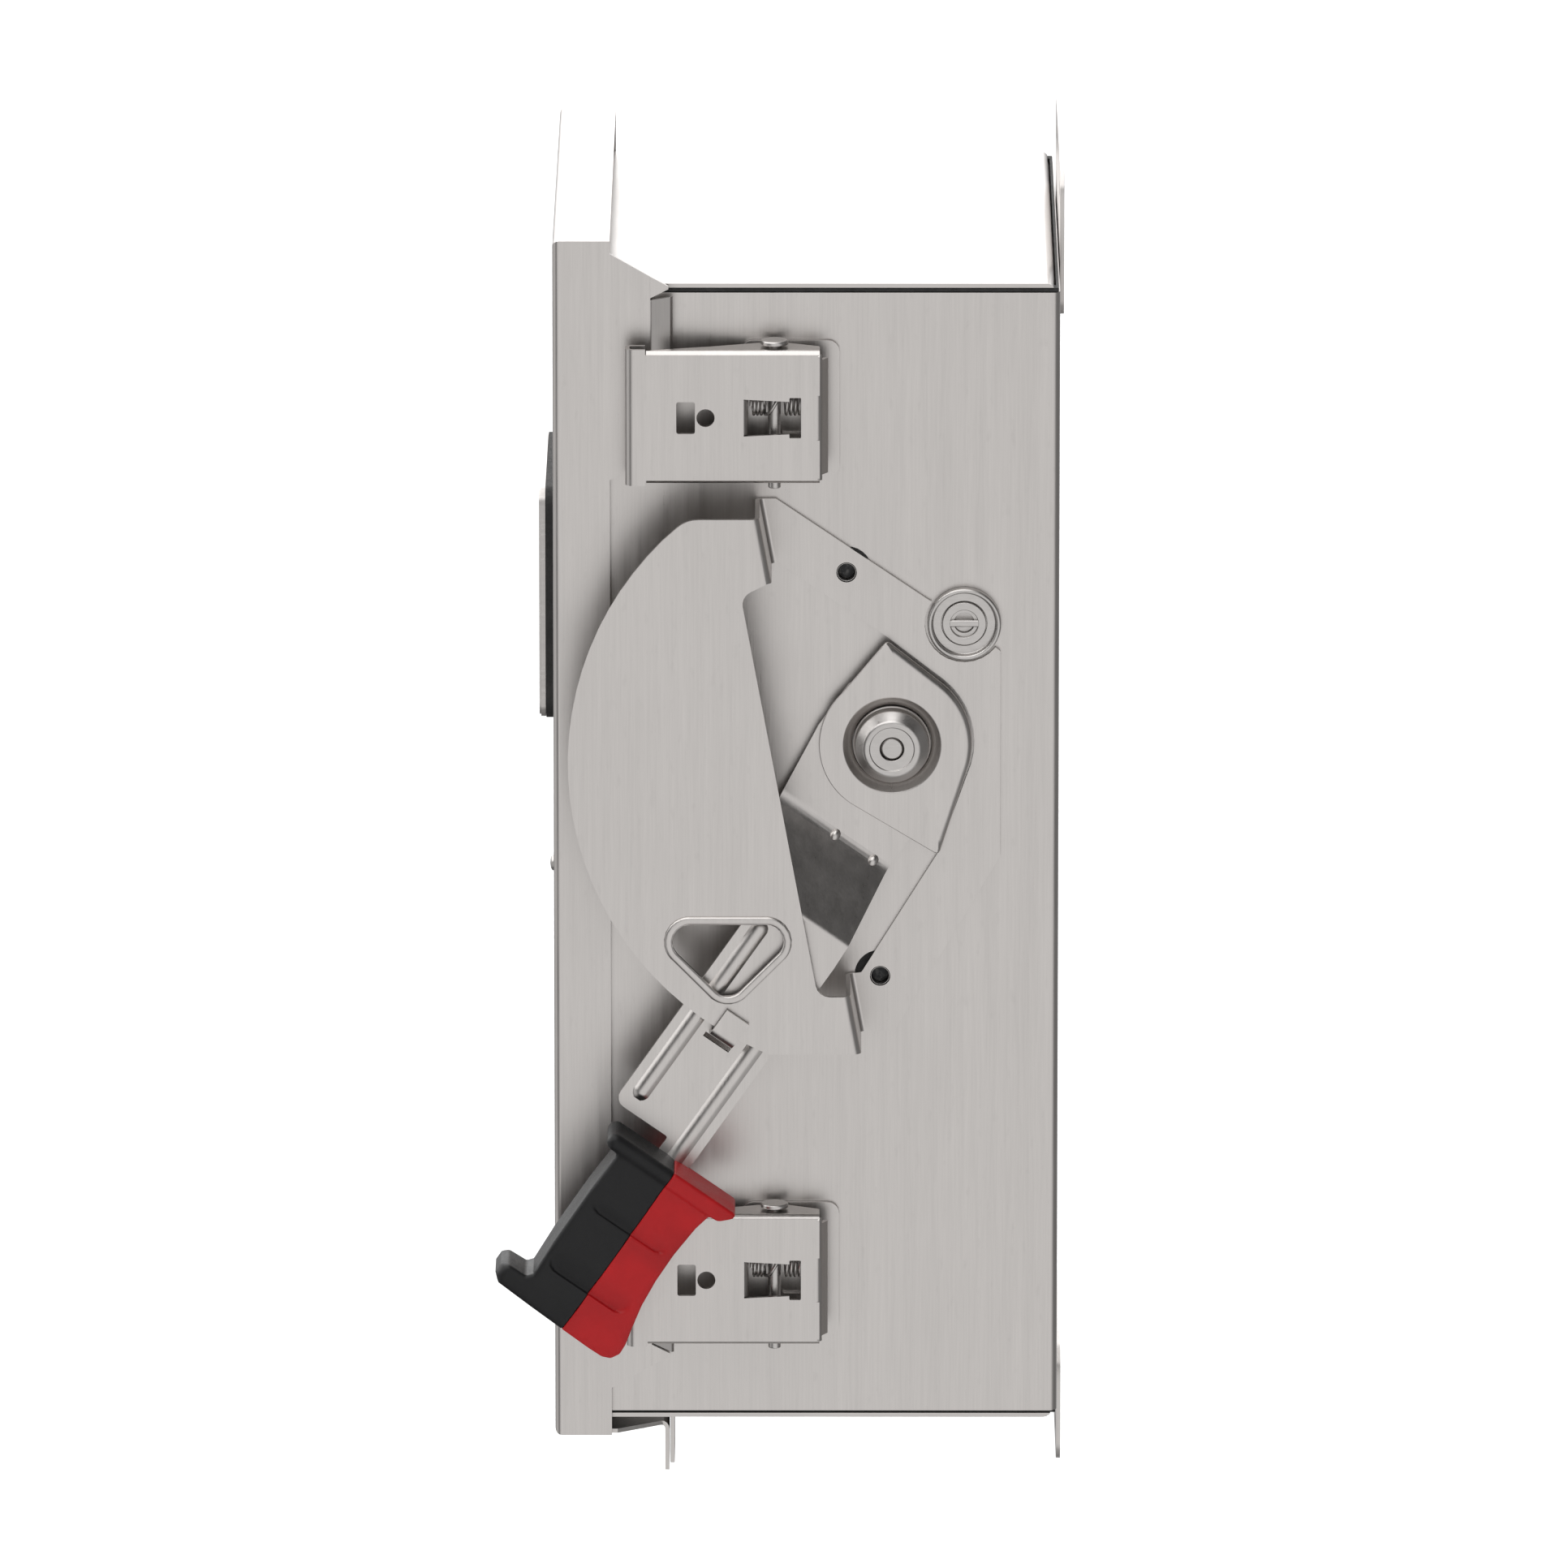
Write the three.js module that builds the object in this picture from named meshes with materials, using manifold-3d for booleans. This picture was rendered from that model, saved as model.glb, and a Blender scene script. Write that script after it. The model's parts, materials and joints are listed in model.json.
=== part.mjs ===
// Enclosed safety switch: a stainless wall box with a hinged door, a guarded side handle with a
// two-colour grip, two spring draw latches and a three-pole blade switch inside. Millimetres,
// +X towards the handle side, -Y towards the door, +Z up. The origin is the centre of the lower
// mounting foot's back face, so the wall is the plane y = 0.
import * as THREE from 'three';
import { mergeVertices } from 'three/addons/utils/BufferGeometryUtils.js';
import Module from 'manifold-3d';

const wasm = await Module();
wasm.setup();

// ---------- driving dimensions ----------
const SHEET = 1.5;
const GAP = 0.3;

const HALF_W = 108.8;
const BODY_BACK = -1.8;
const BODY_FRONT = -173.6;
const BODY_BOTTOM = 8.1;
const BODY_TOP = 418.6;
const TOP_SEAM = 1.7;
const BOTTOM_SEAM = 0.8;
const RIM = 12;

const DOOR_HALF_W = 111.85;
const DOOR_FRONT = -179;
const DOOR_REAR = -159;
const DOOR_BOTTOM = 2.2;
const DOOR_TOP = 434.3;
const WING_REAR = -137;
const LIP_FRONT = -144.2;
const LIP_OUTSIDE = 4.8;
const UPPER_WING = { low: 348.9, high: 429.8 };
const LOWER_WING = { low: 19.6, high: 100.5 };

const HINGE_X = -117;
const HINGE_Y = -156.4;
const HINGE_HEIGHTS = { upper: 350, lower: 90 };

const FOOT_W = 135;
const FOOT_T = 1.5;

const WINDOW_Z = 288.5;
const WINDOW_W = 96;
const WINDOW_H = 84;
const LENS_W = 80;
const LENS_H = 68;
const BEZEL_T = 3.4;

const PIVOT_Y = -60.4;
const PIVOT_Z = 254.5;
const SHAFT_R = 8;
const ARM_ANGLE = THREE.MathUtils.degToRad(35);
const ARM_OFFSET = 8.45;
const ARM_W = 35.7;
const ARM_END = 156.2;
const HUB_LEVEL = 4.2;
const CAM_LEVEL = 7.1;
const CAM_R = 25.6;
const CAM_OUTER_R = 28.3;
const ARM_LEVEL = 29;
const RAMP_START = 38;
const RAMP_END = 64;

const GUARD_LEVEL = 33;
const GUARD_R = 113.2;
const WEB_TILT = THREE.MathUtils.degToRad(10.5);
const WEB_POINT = [-106, 330];

const TRIANGLE = [[-149.2, 198.1], [-86.2, 198.1], [-117.8, 166.2]];
const WINDOW_CORNER = 7.6;
const RIVETS = { upper: [-76.3, 315.5], lower: [-64.4, 169.7] };
const RIVET_HOLE = 3.6;

const BOSS_Y = -35.1;
const BOSS_Z = 297.1;

const LATCH_PIN_Y = -101.5;
const LATCH_PIN_LEVEL = 9;
const LATCH_H = 48.6;
const LATCH_FRONT = -153.5;
const LATCH_REAR = -83.8;
const LATCH_COVER = 17.2;
const SPRING_OFFSET = 3.4;
const LATCH_HEIGHTS = { upper: 374.4, lower: 62.9 };

const POLES = [-45, 0, 45];
const BLADE_Y = -48;
const BLADE_Z = 190;
const BLADE_LENGTH = 92;
const BLADE_OPEN = THREE.MathUtils.degToRad(60);

// ---------- materials ----------
const material = (color, roughness, metalness) =>
  new THREE.MeshStandardMaterial({ color, roughness, metalness });
const stainless = material(0xbbbab7, 0.36, 1);
const brightSteel = material(0xd2d2d0, 0.18, 1);
const blackRubber = material(0x151515, 0.75, 0);
const blackPlastic = material(0x2a2a2a, 0.45, 0);
const redPlastic = material(0xa32328, 0.4, 0);
const clearPlastic = material(0xcfd6d8, 0.1, 0);
const phenolic = material(0x3a3431, 0.6, 0);
const copper = material(0xb87955, 0.35, 1);
const aluminium = material(0xc6c8ca, 0.42, 1);

// ---------- solids ----------
const object = new THREE.Group();

function solid(geometry) {
  const bare = geometry.index ? geometry.toNonIndexed() : geometry;
  bare.deleteAttribute('normal');
  bare.deleteAttribute('uv');
  const merged = mergeVertices(bare, 1e-4);
  return new wasm.Manifold(new wasm.Mesh({
    numProp: 3,
    vertProperties: new Float32Array(merged.attributes.position.array),
    triVerts: new Uint32Array(merged.index.array),
  }));
}

function part(name, body, finish) {
  const { vertProperties, triVerts, numProp } = body.getMesh();
  const position = new Float32Array(vertProperties.length / numProp * 3);
  for (let i = 0; i < position.length / 3; i++) {
    for (let k = 0; k < 3; k++) position[3 * i + k] = vertProperties[numProp * i + k];
  }
  const geometry = new THREE.BufferGeometry();
  geometry.setAttribute('position', new THREE.BufferAttribute(position, 3));
  geometry.setIndex(new THREE.BufferAttribute(new Uint32Array(triVerts), 1));
  const faceted = geometry.toNonIndexed();
  faceted.computeVertexNormals();
  const mesh = new THREE.Mesh(faceted, finish);
  mesh.name = name;
  object.add(mesh);
}

const join = (first, ...rest) => rest.reduce((sum, piece) => sum.add(piece), first);
const cut = (first, ...rest) => rest.reduce((sum, piece) => sum.subtract(piece), first);

function box(x0, x1, y0, y1, z0, z1) {
  const geometry = new THREE.BoxGeometry(x1 - x0, y1 - y0, z1 - z0);
  geometry.translate((x0 + x1) / 2, (y0 + y1) / 2, (z0 + z1) / 2);
  return solid(geometry);
}

// Frames that carry a drawing's (a, b) and its thickness onto the object.
const FACES = {
  side: new THREE.Matrix4().makeBasis(
    new THREE.Vector3(0, 1, 0), new THREE.Vector3(0, 0, 1), new THREE.Vector3(1, 0, 0)),
  front: new THREE.Matrix4().makeBasis(
    new THREE.Vector3(1, 0, 0), new THREE.Vector3(0, 0, 1), new THREE.Vector3(0, -1, 0)),
  plan: new THREE.Matrix4(),
};

// A drawing's corners are [a, b] or [a, b, radius]; each rounded corner becomes an arc.
function rounded(corners, steps = 4) {
  const points = [];
  corners.forEach(([a, b, radius = 0], i) => {
    const here = new THREE.Vector2(a, b);
    if (radius <= 0) {
      points.push(here);
      return;
    }
    const before = corners[(i + corners.length - 1) % corners.length];
    const after = corners[(i + 1) % corners.length];
    const back = new THREE.Vector2(before[0] - a, before[1] - b).normalize();
    const ahead = new THREE.Vector2(after[0] - a, after[1] - b).normalize();
    const half = Math.acos(THREE.MathUtils.clamp(back.dot(ahead), -1, 1)) / 2;
    const middle = back.clone().add(ahead).normalize();
    const centre = here.clone().addScaledVector(middle, radius / Math.sin(half));
    const start = here.clone().addScaledVector(back, radius / Math.tan(half)).sub(centre);
    const end = here.clone().addScaledVector(ahead, radius / Math.tan(half)).sub(centre);
    let turn = end.angle() - start.angle();
    if (turn > Math.PI) turn -= 2 * Math.PI;
    if (turn < -Math.PI) turn += 2 * Math.PI;
    for (let k = 0; k <= steps; k++) {
      points.push(start.clone().rotateAround(new THREE.Vector2(), turn * k / steps).add(centre));
    }
  });
  return points;
}

function arc(ca, cb, radius, from, to, steps) {
  const points = [];
  for (let k = 0; k <= steps; k++) {
    const angle = THREE.MathUtils.degToRad(from + (to - from) * k / steps);
    points.push([ca + radius * Math.cos(angle), cb + radius * Math.sin(angle)]);
  }
  return points;
}

// A prism of the drawing on a face, between two distances along that face's normal.
function prism(face, corners, low, high, steps) {
  const geometry = new THREE.ExtrudeGeometry(new THREE.Shape(rounded(corners, steps)), {
    depth: high - low,
    bevelEnabled: false,
  });
  geometry.translate(0, 0, low);
  geometry.applyMatrix4(FACES[face] ?? face);
  return solid(geometry);
}

// The same, with the distances counted outwards from the handle side's wall.
const raised = (corners, low, high, steps) => prism('side', corners, HALF_W + low, HALF_W + high, steps);

const circle = (ca, cb, radius, steps = 20) => arc(ca, cb, radius, 0, 360 * (1 - 1 / steps), steps - 1);

function rectangle(a0, a1, b0, b1, radius = 0) {
  return [[a0, b0, radius], [a1, b0, radius], [a1, b1, radius], [a0, b1, radius]];
}

// The outline of a bent sheet: the path is one face, and the sheet lies to its left. A point of the
// path may carry its own inside radius.
function bentSheet(path, usual = SHEET, thickness = SHEET) {
  const at = path.map(([a, b]) => new THREE.Vector2(a, b));
  const left = (p, q) => new THREE.Vector2(p.y - q.y, q.x - p.x).normalize();
  const near = [];
  const far = [];
  at.forEach((here, i) => {
    const before = i > 0 ? left(at[i - 1], here) : null;
    const after = i < at.length - 1 ? left(here, at[i + 1]) : null;
    if (!before || !after) {
      near.push([here.x, here.y]);
      const end = here.clone().addScaledVector(before || after, thickness);
      far.push([end.x, end.y]);
      return;
    }
    const mitre = before.clone().add(after).normalize();
    const offset = here.clone().addScaledVector(mitre, thickness / mitre.dot(after));
    const turnsLeft = before.cross(after) > 0;
    const inside = path[i][2] ?? usual;
    near.push([here.x, here.y, turnsLeft ? inside + thickness : inside]);
    far.push([offset.x, offset.y, turnsLeft ? inside : inside + thickness]);
  });
  return [...near, ...far.reverse()];
}

// A turned piece whose axis is parallel to X: the profile is [radius, level] from axis to axis.
function turned(profile, y, z, steps = 28) {
  const points = profile.map(([r, level]) => new THREE.Vector2(r, level));
  const geometry = new THREE.LatheGeometry(points, steps);
  geometry.rotateZ(-Math.PI / 2);
  geometry.translate(HALF_W, y, z);
  return solid(geometry);
}

function wire(path, radius, steps, sides = 5) {
  const section = new THREE.Shape(circle(0, 0, radius, sides).map(([a, b]) => new THREE.Vector2(a, b)));
  return solid(new THREE.ExtrudeGeometry(section, { extrudePath: path, steps, bevelEnabled: false }));
}

// ---------- box ----------
function enclosureShell() {
  const inner = HALF_W - RIM;
  const plan = bentSheet([
    [inner, BODY_FRONT], [HALF_W, BODY_FRONT], [HALF_W, BODY_BACK],
    [-HALF_W, BODY_BACK], [-HALF_W, BODY_FRONT], [-inner, BODY_FRONT],
  ]);
  return cut(
    prism('plan', plan, BODY_BOTTOM + SHEET + BOTTOM_SEAM, BODY_TOP - SHEET - TOP_SEAM),
    raised(circle(PIVOT_Y, PIVOT_Z, SHAFT_R + 0.6), -5, 5),
    raised(circle(BOSS_Y, BOSS_Z, 4.6), -5, 5),
    ...Object.values(RIVETS).map(([y, z]) => raised(circle(y, z, RIVET_HOLE), -5, 5)),
  );
}

// A flat plate whose rear edge and front rim are bent inwards, clear of the shell's side walls.
function cap(top) {
  const z = top ? BODY_TOP : BODY_BOTTOM;
  const fold = top ? z - RIM : z + RIM;
  const under = top ? z - SHEET : z + SHEET;
  const rear = BODY_BACK - SHEET - GAP;
  const path = [[BODY_FRONT, fold], [BODY_FRONT, z], [rear, z], [rear, fold]];
  const bent = prism('side', bentSheet(top ? path.reverse() : path), -HALF_W, HALF_W);
  const side = HALF_W - RIM - GAP;
  const [low, high] = [Math.min(fold, under) - 1, Math.max(fold, under) + (top ? 0 : 1)];
  return cut(
    bent,
    box(side, HALF_W + 1, BODY_FRONT - 1, rear + 1, top ? low : under, high),
    box(-HALF_W - 1, -side, BODY_FRONT - 1, rear + 1, top ? low : under, high),
  );
}

// Sealant laid along the shell's side and rear edges, under the cap.
function seamSeal(low, high) {
  const outside = HALF_W - 0.5;
  const inside = HALF_W - 5;
  const rear = BODY_BACK - 0.5;
  return prism('plan', [
    [outside, BODY_FRONT + 2], [outside, rear], [-outside, rear], [-outside, BODY_FRONT + 2],
    [-inside, BODY_FRONT + 2], [-inside, rear - 1], [inside, rear - 1], [inside, BODY_FRONT + 2],
  ], low, high);
}

function mountingFoot(low, high) {
  const boltZ = low < 0 ? low + 12 : high - 12;
  const slots = [-46, 46].map((x) =>
    prism('front', rectangle(x - 6.5, x + 6.5, boltZ - 4.4, boltZ + 4.4, 4.3), -1, FOOT_T + 1));
  return cut(prism('front', rectangle(-FOOT_W / 2, FOOT_W / 2, low, high, 9), 0, FOOT_T), ...slots);
}

// ---------- door ----------
// A side flange drawn out to the rear, with its edge flared outwards for a latch to hold. Each end of
// the flare is cut slantwise and leaves a flat corner.
function wing({ low, high }) {
  const inner = DOOR_HALF_W - SHEET;
  const plan = bentSheet([
    [inner + LIP_OUTSIDE, WING_REAR], [inner, LIP_FRONT], [inner, DOOR_FRONT + 4],
  ], 1.6);
  const fold = LIP_FRONT - 0.6;
  const end = (z, up) => [
    [DOOR_FRONT, z - 4 * up], [DOOR_REAR, z], [fold, z + 8.2 * up], [fold, z + 16.5 * up],
    [WING_REAR + 2, z + 13.6 * up],
  ];
  const corner = (z, up) => prism('side', [
    [fold - 3, z + 6.6 * up], [WING_REAR - 1.5, z + 11.6 * up], [WING_REAR - 1.5, z + 12.6 * up],
    [fold, z + 15.8 * up], [fold - 3, z + 15.8 * up],
  ], inner, inner + SHEET);
  const flared = prism('plan', plan, DOOR_BOTTOM + SHEET, DOOR_TOP - SHEET)
    .intersect(prism('side', [...end(low, 1), ...end(high, -1).reverse()], 0, 2 * HALF_W));
  return join(flared, corner(low, 1), corner(high, -1));
}

function padlockTab(path, plan, holeZ) {
  const sheet = prism('side', bentSheet(path), 50, HALF_W).intersect(prism('plan', plan, -20, 12));
  return cut(sheet, prism('front', circle(86, holeZ, 4.8), 100, 160));
}

function doorPanel() {
  const pan = (inset, front, radius) => {
    const side = DOOR_HALF_W - inset;
    const plan = [[-side, DOOR_REAR], [-side, front, radius], [side, front, radius], [side, DOOR_REAR]];
    const [low, high] = [DOOR_BOTTOM + inset, DOOR_TOP - inset];
    const profile = [[DOOR_REAR, high], [front, high, radius], [front, low, radius], [DOOR_REAR, low]];
    return prism('plan', plan, low, high).intersect(prism('side', profile, -side, side));
  };
  const hollow = join(pan(SHEET, DOOR_FRONT + SHEET, 0.8),
    box(-HALF_W, HALF_W, DOOR_REAR - 1, DOOR_REAR + 1, BODY_BOTTOM - 3, DOOR_TOP - SHEET));
  const tab = padlockTab(
    [[-138.8, -14.4], [-138.8, DOOR_BOTTOM + SHEET], [-170, DOOR_BOTTOM + SHEET]],
    [[58, -170], [HALF_W, -170], [HALF_W, -157], [98, -141], [98, -130], [74, -130], [74, -141], [58, -157]],
    -6.5,
  );
  return cut(
    join(cut(pan(0, DOOR_FRONT, 2.3), hollow), wing(UPPER_WING), wing(LOWER_WING), tab),
    prism('front', windowRectangle(LENS_W / 2, LENS_H / 2, 4), 170, 190),
    prism('front', circle(84, 204, 2.4), 170, 190),
  );
}

const windowRectangle = (a, b, radius) => rectangle(-a, a, WINDOW_Z - b, WINDOW_Z + b, radius);

function frameRing(width, height, radius, opening, low, high) {
  const half = [width / 2, height / 2];
  const hole = [half[0] - opening, half[1] - opening];
  return cut(
    prism('front', windowRectangle(half[0], half[1], radius), low, high),
    prism('front', windowRectangle(hole[0], hole[1], Math.max(radius - 2, 1)), low - 1, high + 1),
  );
}

// The black bezel stands on the door and has a seat round its opening for the lens.
function windowBezel() {
  return cut(
    frameRing(WINDOW_W, WINDOW_H, 6, 12, -DOOR_FRONT + 0.2, -DOOR_FRONT + BEZEL_T),
    prism('front', windowRectangle(LENS_W / 2 + 0.5, LENS_H / 2 + 0.5, 4), 2.2 - DOOR_FRONT, 10 - DOOR_FRONT),
  );
}

// The bright trim caps the bezel and stands round the lens.
function windowTrim() {
  const border = (WINDOW_W - LENS_W) / 2 - 0.8;
  return join(
    frameRing(WINDOW_W - 0.6, WINDOW_H - 0.6, 6, border, -DOOR_FRONT + BEZEL_T + 0.1, -DOOR_FRONT + 5.2),
    frameRing(WINDOW_W - 2.2, WINDOW_H - 2.2, 5.2, border - 0.8, -DOOR_FRONT + 5, -DOOR_FRONT + 5.8),
  );
}

function doorGasket() {
  const outer = rectangle(-106, 106, BODY_BOTTOM + 2, BODY_TOP - 2, 4);
  const inner = rectangle(-98.5, 98.5, BODY_BOTTOM + 9.5, BODY_TOP - 9.5, 3);
  return cut(prism('front', outer, 173.9, 177.2), prism('front', inner, 170, 180));
}

function doorRivet() {
  const head = new THREE.LatheGeometry(
    [[0, 0], [2.1, 0], [2.1, 2.2], [2.9, 2.2], [2.7, 2.9], [1.9, 3.4], [0, 3.6]].map(
      ([r, h]) => new THREE.Vector2(r, h)), 20);
  head.rotateX(Math.PI);
  head.translate(84, DOOR_FRONT + 2, 204);
  return solid(head);
}

// ---------- hinges ----------
const knuckle = (radius, low, high) => prism('plan', circle(HINGE_X, HINGE_Y, radius, 20), low, high);

function bodyLeaf(z) {
  const wall = -HALF_W - GAP;
  const reach = [
    [wall, -120], [wall - SHEET, -120], [wall - SHEET, -146], [HINGE_X - 3.4, HINGE_Y + 1],
    [HINGE_X, HINGE_Y - 3], [HINGE_X + 3.4, HINGE_Y + 1], [wall, -148],
  ];
  const leaf = prism('plan', reach, z - 30, z + 30)
    .subtract(box(HINGE_X - 6, -HALF_W, -170, -148.5, z - 12.3, z + 12.3));
  const knuckles = [[z - 30, z - 12.3], [z + 12.3, z + 30]].map(([a, b]) => knuckle(4, a, b));
  return cut(join(leaf, ...knuckles), knuckle(2.3, z - 40, z + 40));
}

function doorLeaf(z) {
  const wall = -DOOR_HALF_W - GAP;
  const plan = [
    [wall, -176], [wall - SHEET, -176], [HINGE_X - 2.5, HINGE_Y - 3], [HINGE_X, HINGE_Y + 3],
    [HINGE_X + 2.8, HINGE_Y - 1], [wall, -159.5],
  ];
  const leaf = prism('plan', plan, z - 12, z + 12);
  return cut(join(leaf, knuckle(4, z - 12, z + 12)), knuckle(2.3, z - 40, z + 40));
}

const hingePin = (z) => join(knuckle(2, z - 31, z + 30.6), knuckle(3.4, z + 30.5, z + 32.4));

// ---------- handle guard ----------
const pivotPoint = (radius, degrees) => [
  PIVOT_Y + radius * Math.cos(THREE.MathUtils.degToRad(degrees)),
  PIVOT_Z + radius * Math.sin(THREE.MathUtils.degToRad(degrees)),
];
const aboutPivot = (radius, from, to, steps) => arc(PIVOT_Y, PIVOT_Z, radius, from, to, steps);

function handleGuard() {
  const outline = [
    [-101, 342, 1], [-47.6, 305.6], ...arc(BOSS_Y, BOSS_Z, 13.9, 145, 322, 14),
    [-22.4, 287.2, 1], [-22.4, 213, 1], [-59.3, 149.7, 1], pivotPoint(GUARD_R, 247.8),
    ...aboutPivot(GUARD_R, 246, 135, 28), [-132.2, 342, 11],
  ];
  const opening = [
    [-104, 319, 1], [-113.2, 314.5, 5], [-86.3, 170.4, 5], [-77.2, 170.4], [-71, 171, 1],
    [-44, 214.6, 1], ...aboutPivot(CAM_OUTER_R + 0.6, -16, 51, 8), [-62.3, 292.4, 1], [-100, 319, 1],
  ];
  const along = new THREE.Vector3(0, -Math.sin(WEB_TILT), Math.cos(WEB_TILT));
  const across = new THREE.Vector3(0, Math.cos(WEB_TILT), Math.sin(WEB_TILT));
  const outwards = new THREE.Vector3(1, 0, 0);
  const placed = new THREE.Matrix4().makeBasis(across, outwards, along.negate());
  placed.setPosition(HALF_W, WEB_POINT[0], WEB_POINT[1]);
  const fold = bentSheet([[-90, GUARD_LEVEL], [0, GUARD_LEVEL], [0, GAP], [120, GAP]], 1.6);
  const rim = triangle(1.3);
  const sheet = join(
    prism(placed, fold, -120, 250).intersect(raised(outline, -1, 40)),
    raised(rim, GUARD_LEVEL + 1, GUARD_LEVEL + SHEET + 0.7, 6),
  );
  return cut(
    sheet, raised(opening, -1, 40), raised(triangle(-1.3), GUARD_LEVEL - 2, GUARD_LEVEL + 5, 6),
    ...Object.values(RIVETS).map(([y, z]) => raised(circle(y, z, RIVET_HOLE, 28), -1, 5)),
  );
}

// The padlock window's outline, with rounded corners, grown outwards by the given amount.
function triangle(grow) {
  return TRIANGLE.map(([y, z], i) => {
    const [before, after] = [TRIANGLE[(i + 2) % 3], TRIANGLE[(i + 1) % 3]];
    const back = new THREE.Vector2(before[0] - y, before[1] - z).normalize();
    const ahead = new THREE.Vector2(after[0] - y, after[1] - z).normalize();
    const run = grow / Math.sin(back.angleTo(ahead));
    return [y - (back.x + ahead.x) * run, z - (back.y + ahead.y) * run, WINDOW_CORNER + grow];
  });
}

// A cup rivet, flush with the guard's foot: its floor has a bore and its flange lies inside the wall.
function guardRivet([y, z]) {
  const outer = RIVET_HOLE - 0.3;
  const inner = outer - 0.45;
  return turned([
    [1.4, -6.4], [outer, -6.4], [outer, -3], [4.9, -3], [4.9, -1.9], [outer, -1.9], [outer, 1.7],
    [inner, 1.7], [inner, -4.6], [1.4, -4.6], [1.4, -6.4],
  ], y, z, 28);
}

const sealWasher = ([y, z]) =>
  cut(raised(circle(y, z, 9, 28), 0.05, 0.25), raised(circle(y, z, RIVET_HOLE), -1, 1));

// ---------- handle ----------
const armPoint = (along, across) => [
  PIVOT_Y - along * Math.sin(ARM_ANGLE) + across * Math.cos(ARM_ANGLE),
  PIVOT_Z - along * Math.cos(ARM_ANGLE) - across * Math.sin(ARM_ANGLE),
];
const armOutline = (corners) => corners.map(([s, t, radius]) => [...armPoint(s, t), radius ?? 0]);

// The arm's own frame: drawings run along the arm and outwards, thickness runs across it.
const ARM_FRAME = new THREE.Matrix4().makeBasis(
  new THREE.Vector3(0, -Math.sin(ARM_ANGLE), -Math.cos(ARM_ANGLE)),
  new THREE.Vector3(1, 0, 0),
  new THREE.Vector3(0, -Math.cos(ARM_ANGLE), Math.sin(ARM_ANGLE)),
).setPosition(HALF_W, PIVOT_Y, PIVOT_Z);
const acrossArm = (corners, low, high) => prism(ARM_FRAME, corners, -high, -low);

function capsule(from, to, radius) {
  const [a, b] = [from, to].map(([s, t, height]) => {
    const [y, z] = armPoint(s, t);
    return new THREE.Vector3(HALF_W + height, y, z);
  });
  const geometry = new THREE.CapsuleGeometry(radius, a.distanceTo(b), 3, 12);
  const turn = new THREE.Quaternion().setFromUnitVectors(
    new THREE.Vector3(0, 1, 0), b.clone().sub(a).normalize());
  geometry.applyQuaternion(turn);
  const middle = a.clone().add(b).multiplyScalar(0.5);
  geometry.translate(middle.x, middle.y, middle.z);
  return solid(geometry);
}

function handleArm() {
  const left = ARM_OFFSET - ARM_W / 2;
  const right = ARM_OFFSET + ARM_W / 2;
  const outline = armOutline([
    [9, -25], [37.7, -21.4], [73, left, 12], [ARM_END, left, 4], [ARM_END, 13.6, 1], [176, 13.6, 1],
    [176, 26, 1], [ARM_END, right, 2], [73, right, 10], [38.5, 24.6], [9, 25],
    ...arc(0, 0, 26.4, 110, 250, 12),
  ]);
  const profile = [
    [-40, HUB_LEVEL], [RAMP_START, HUB_LEVEL, 7], [RAMP_END, ARM_LEVEL, 1.5], [180, ARM_LEVEL],
  ];
  const plate = acrossArm(bentSheet(profile), -40, 40).intersect(raised(outline, 0, 40));
  const hook = acrossArm(
    bentSheet([[116.4, ARM_LEVEL + 0.5], [116.4, 36.8], [105.3, 36.8]]), 3.4, 12.8);
  const above = raised(armOutline([[60, -30], [180, -30], [180, 40], [60, 40]]), ARM_LEVEL + 0.4, 40);
  const ribs = [[-3.3, 76], [20.1, 96]].map(([t, start]) =>
    capsule([start, t, ARM_LEVEL - 0.2], [149, t, ARM_LEVEL - 0.2], 2.6).intersect(above));
  const darts = [2.4, 18.6].map((t) => capsule([37.7, t, 5.9], [38.5, t, 6.3], 1.85));
  return cut(
    join(plate, hook, ...ribs, ...darts),
    raised(circle(PIVOT_Y, PIVOT_Z, 18.2, 40), 0, 8),
    raised(armOutline([[117.2, 2.6], [119, 2.6], [119, 13.4], [117.2, 13.4]]), 20, 34),
  );
}

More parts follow.
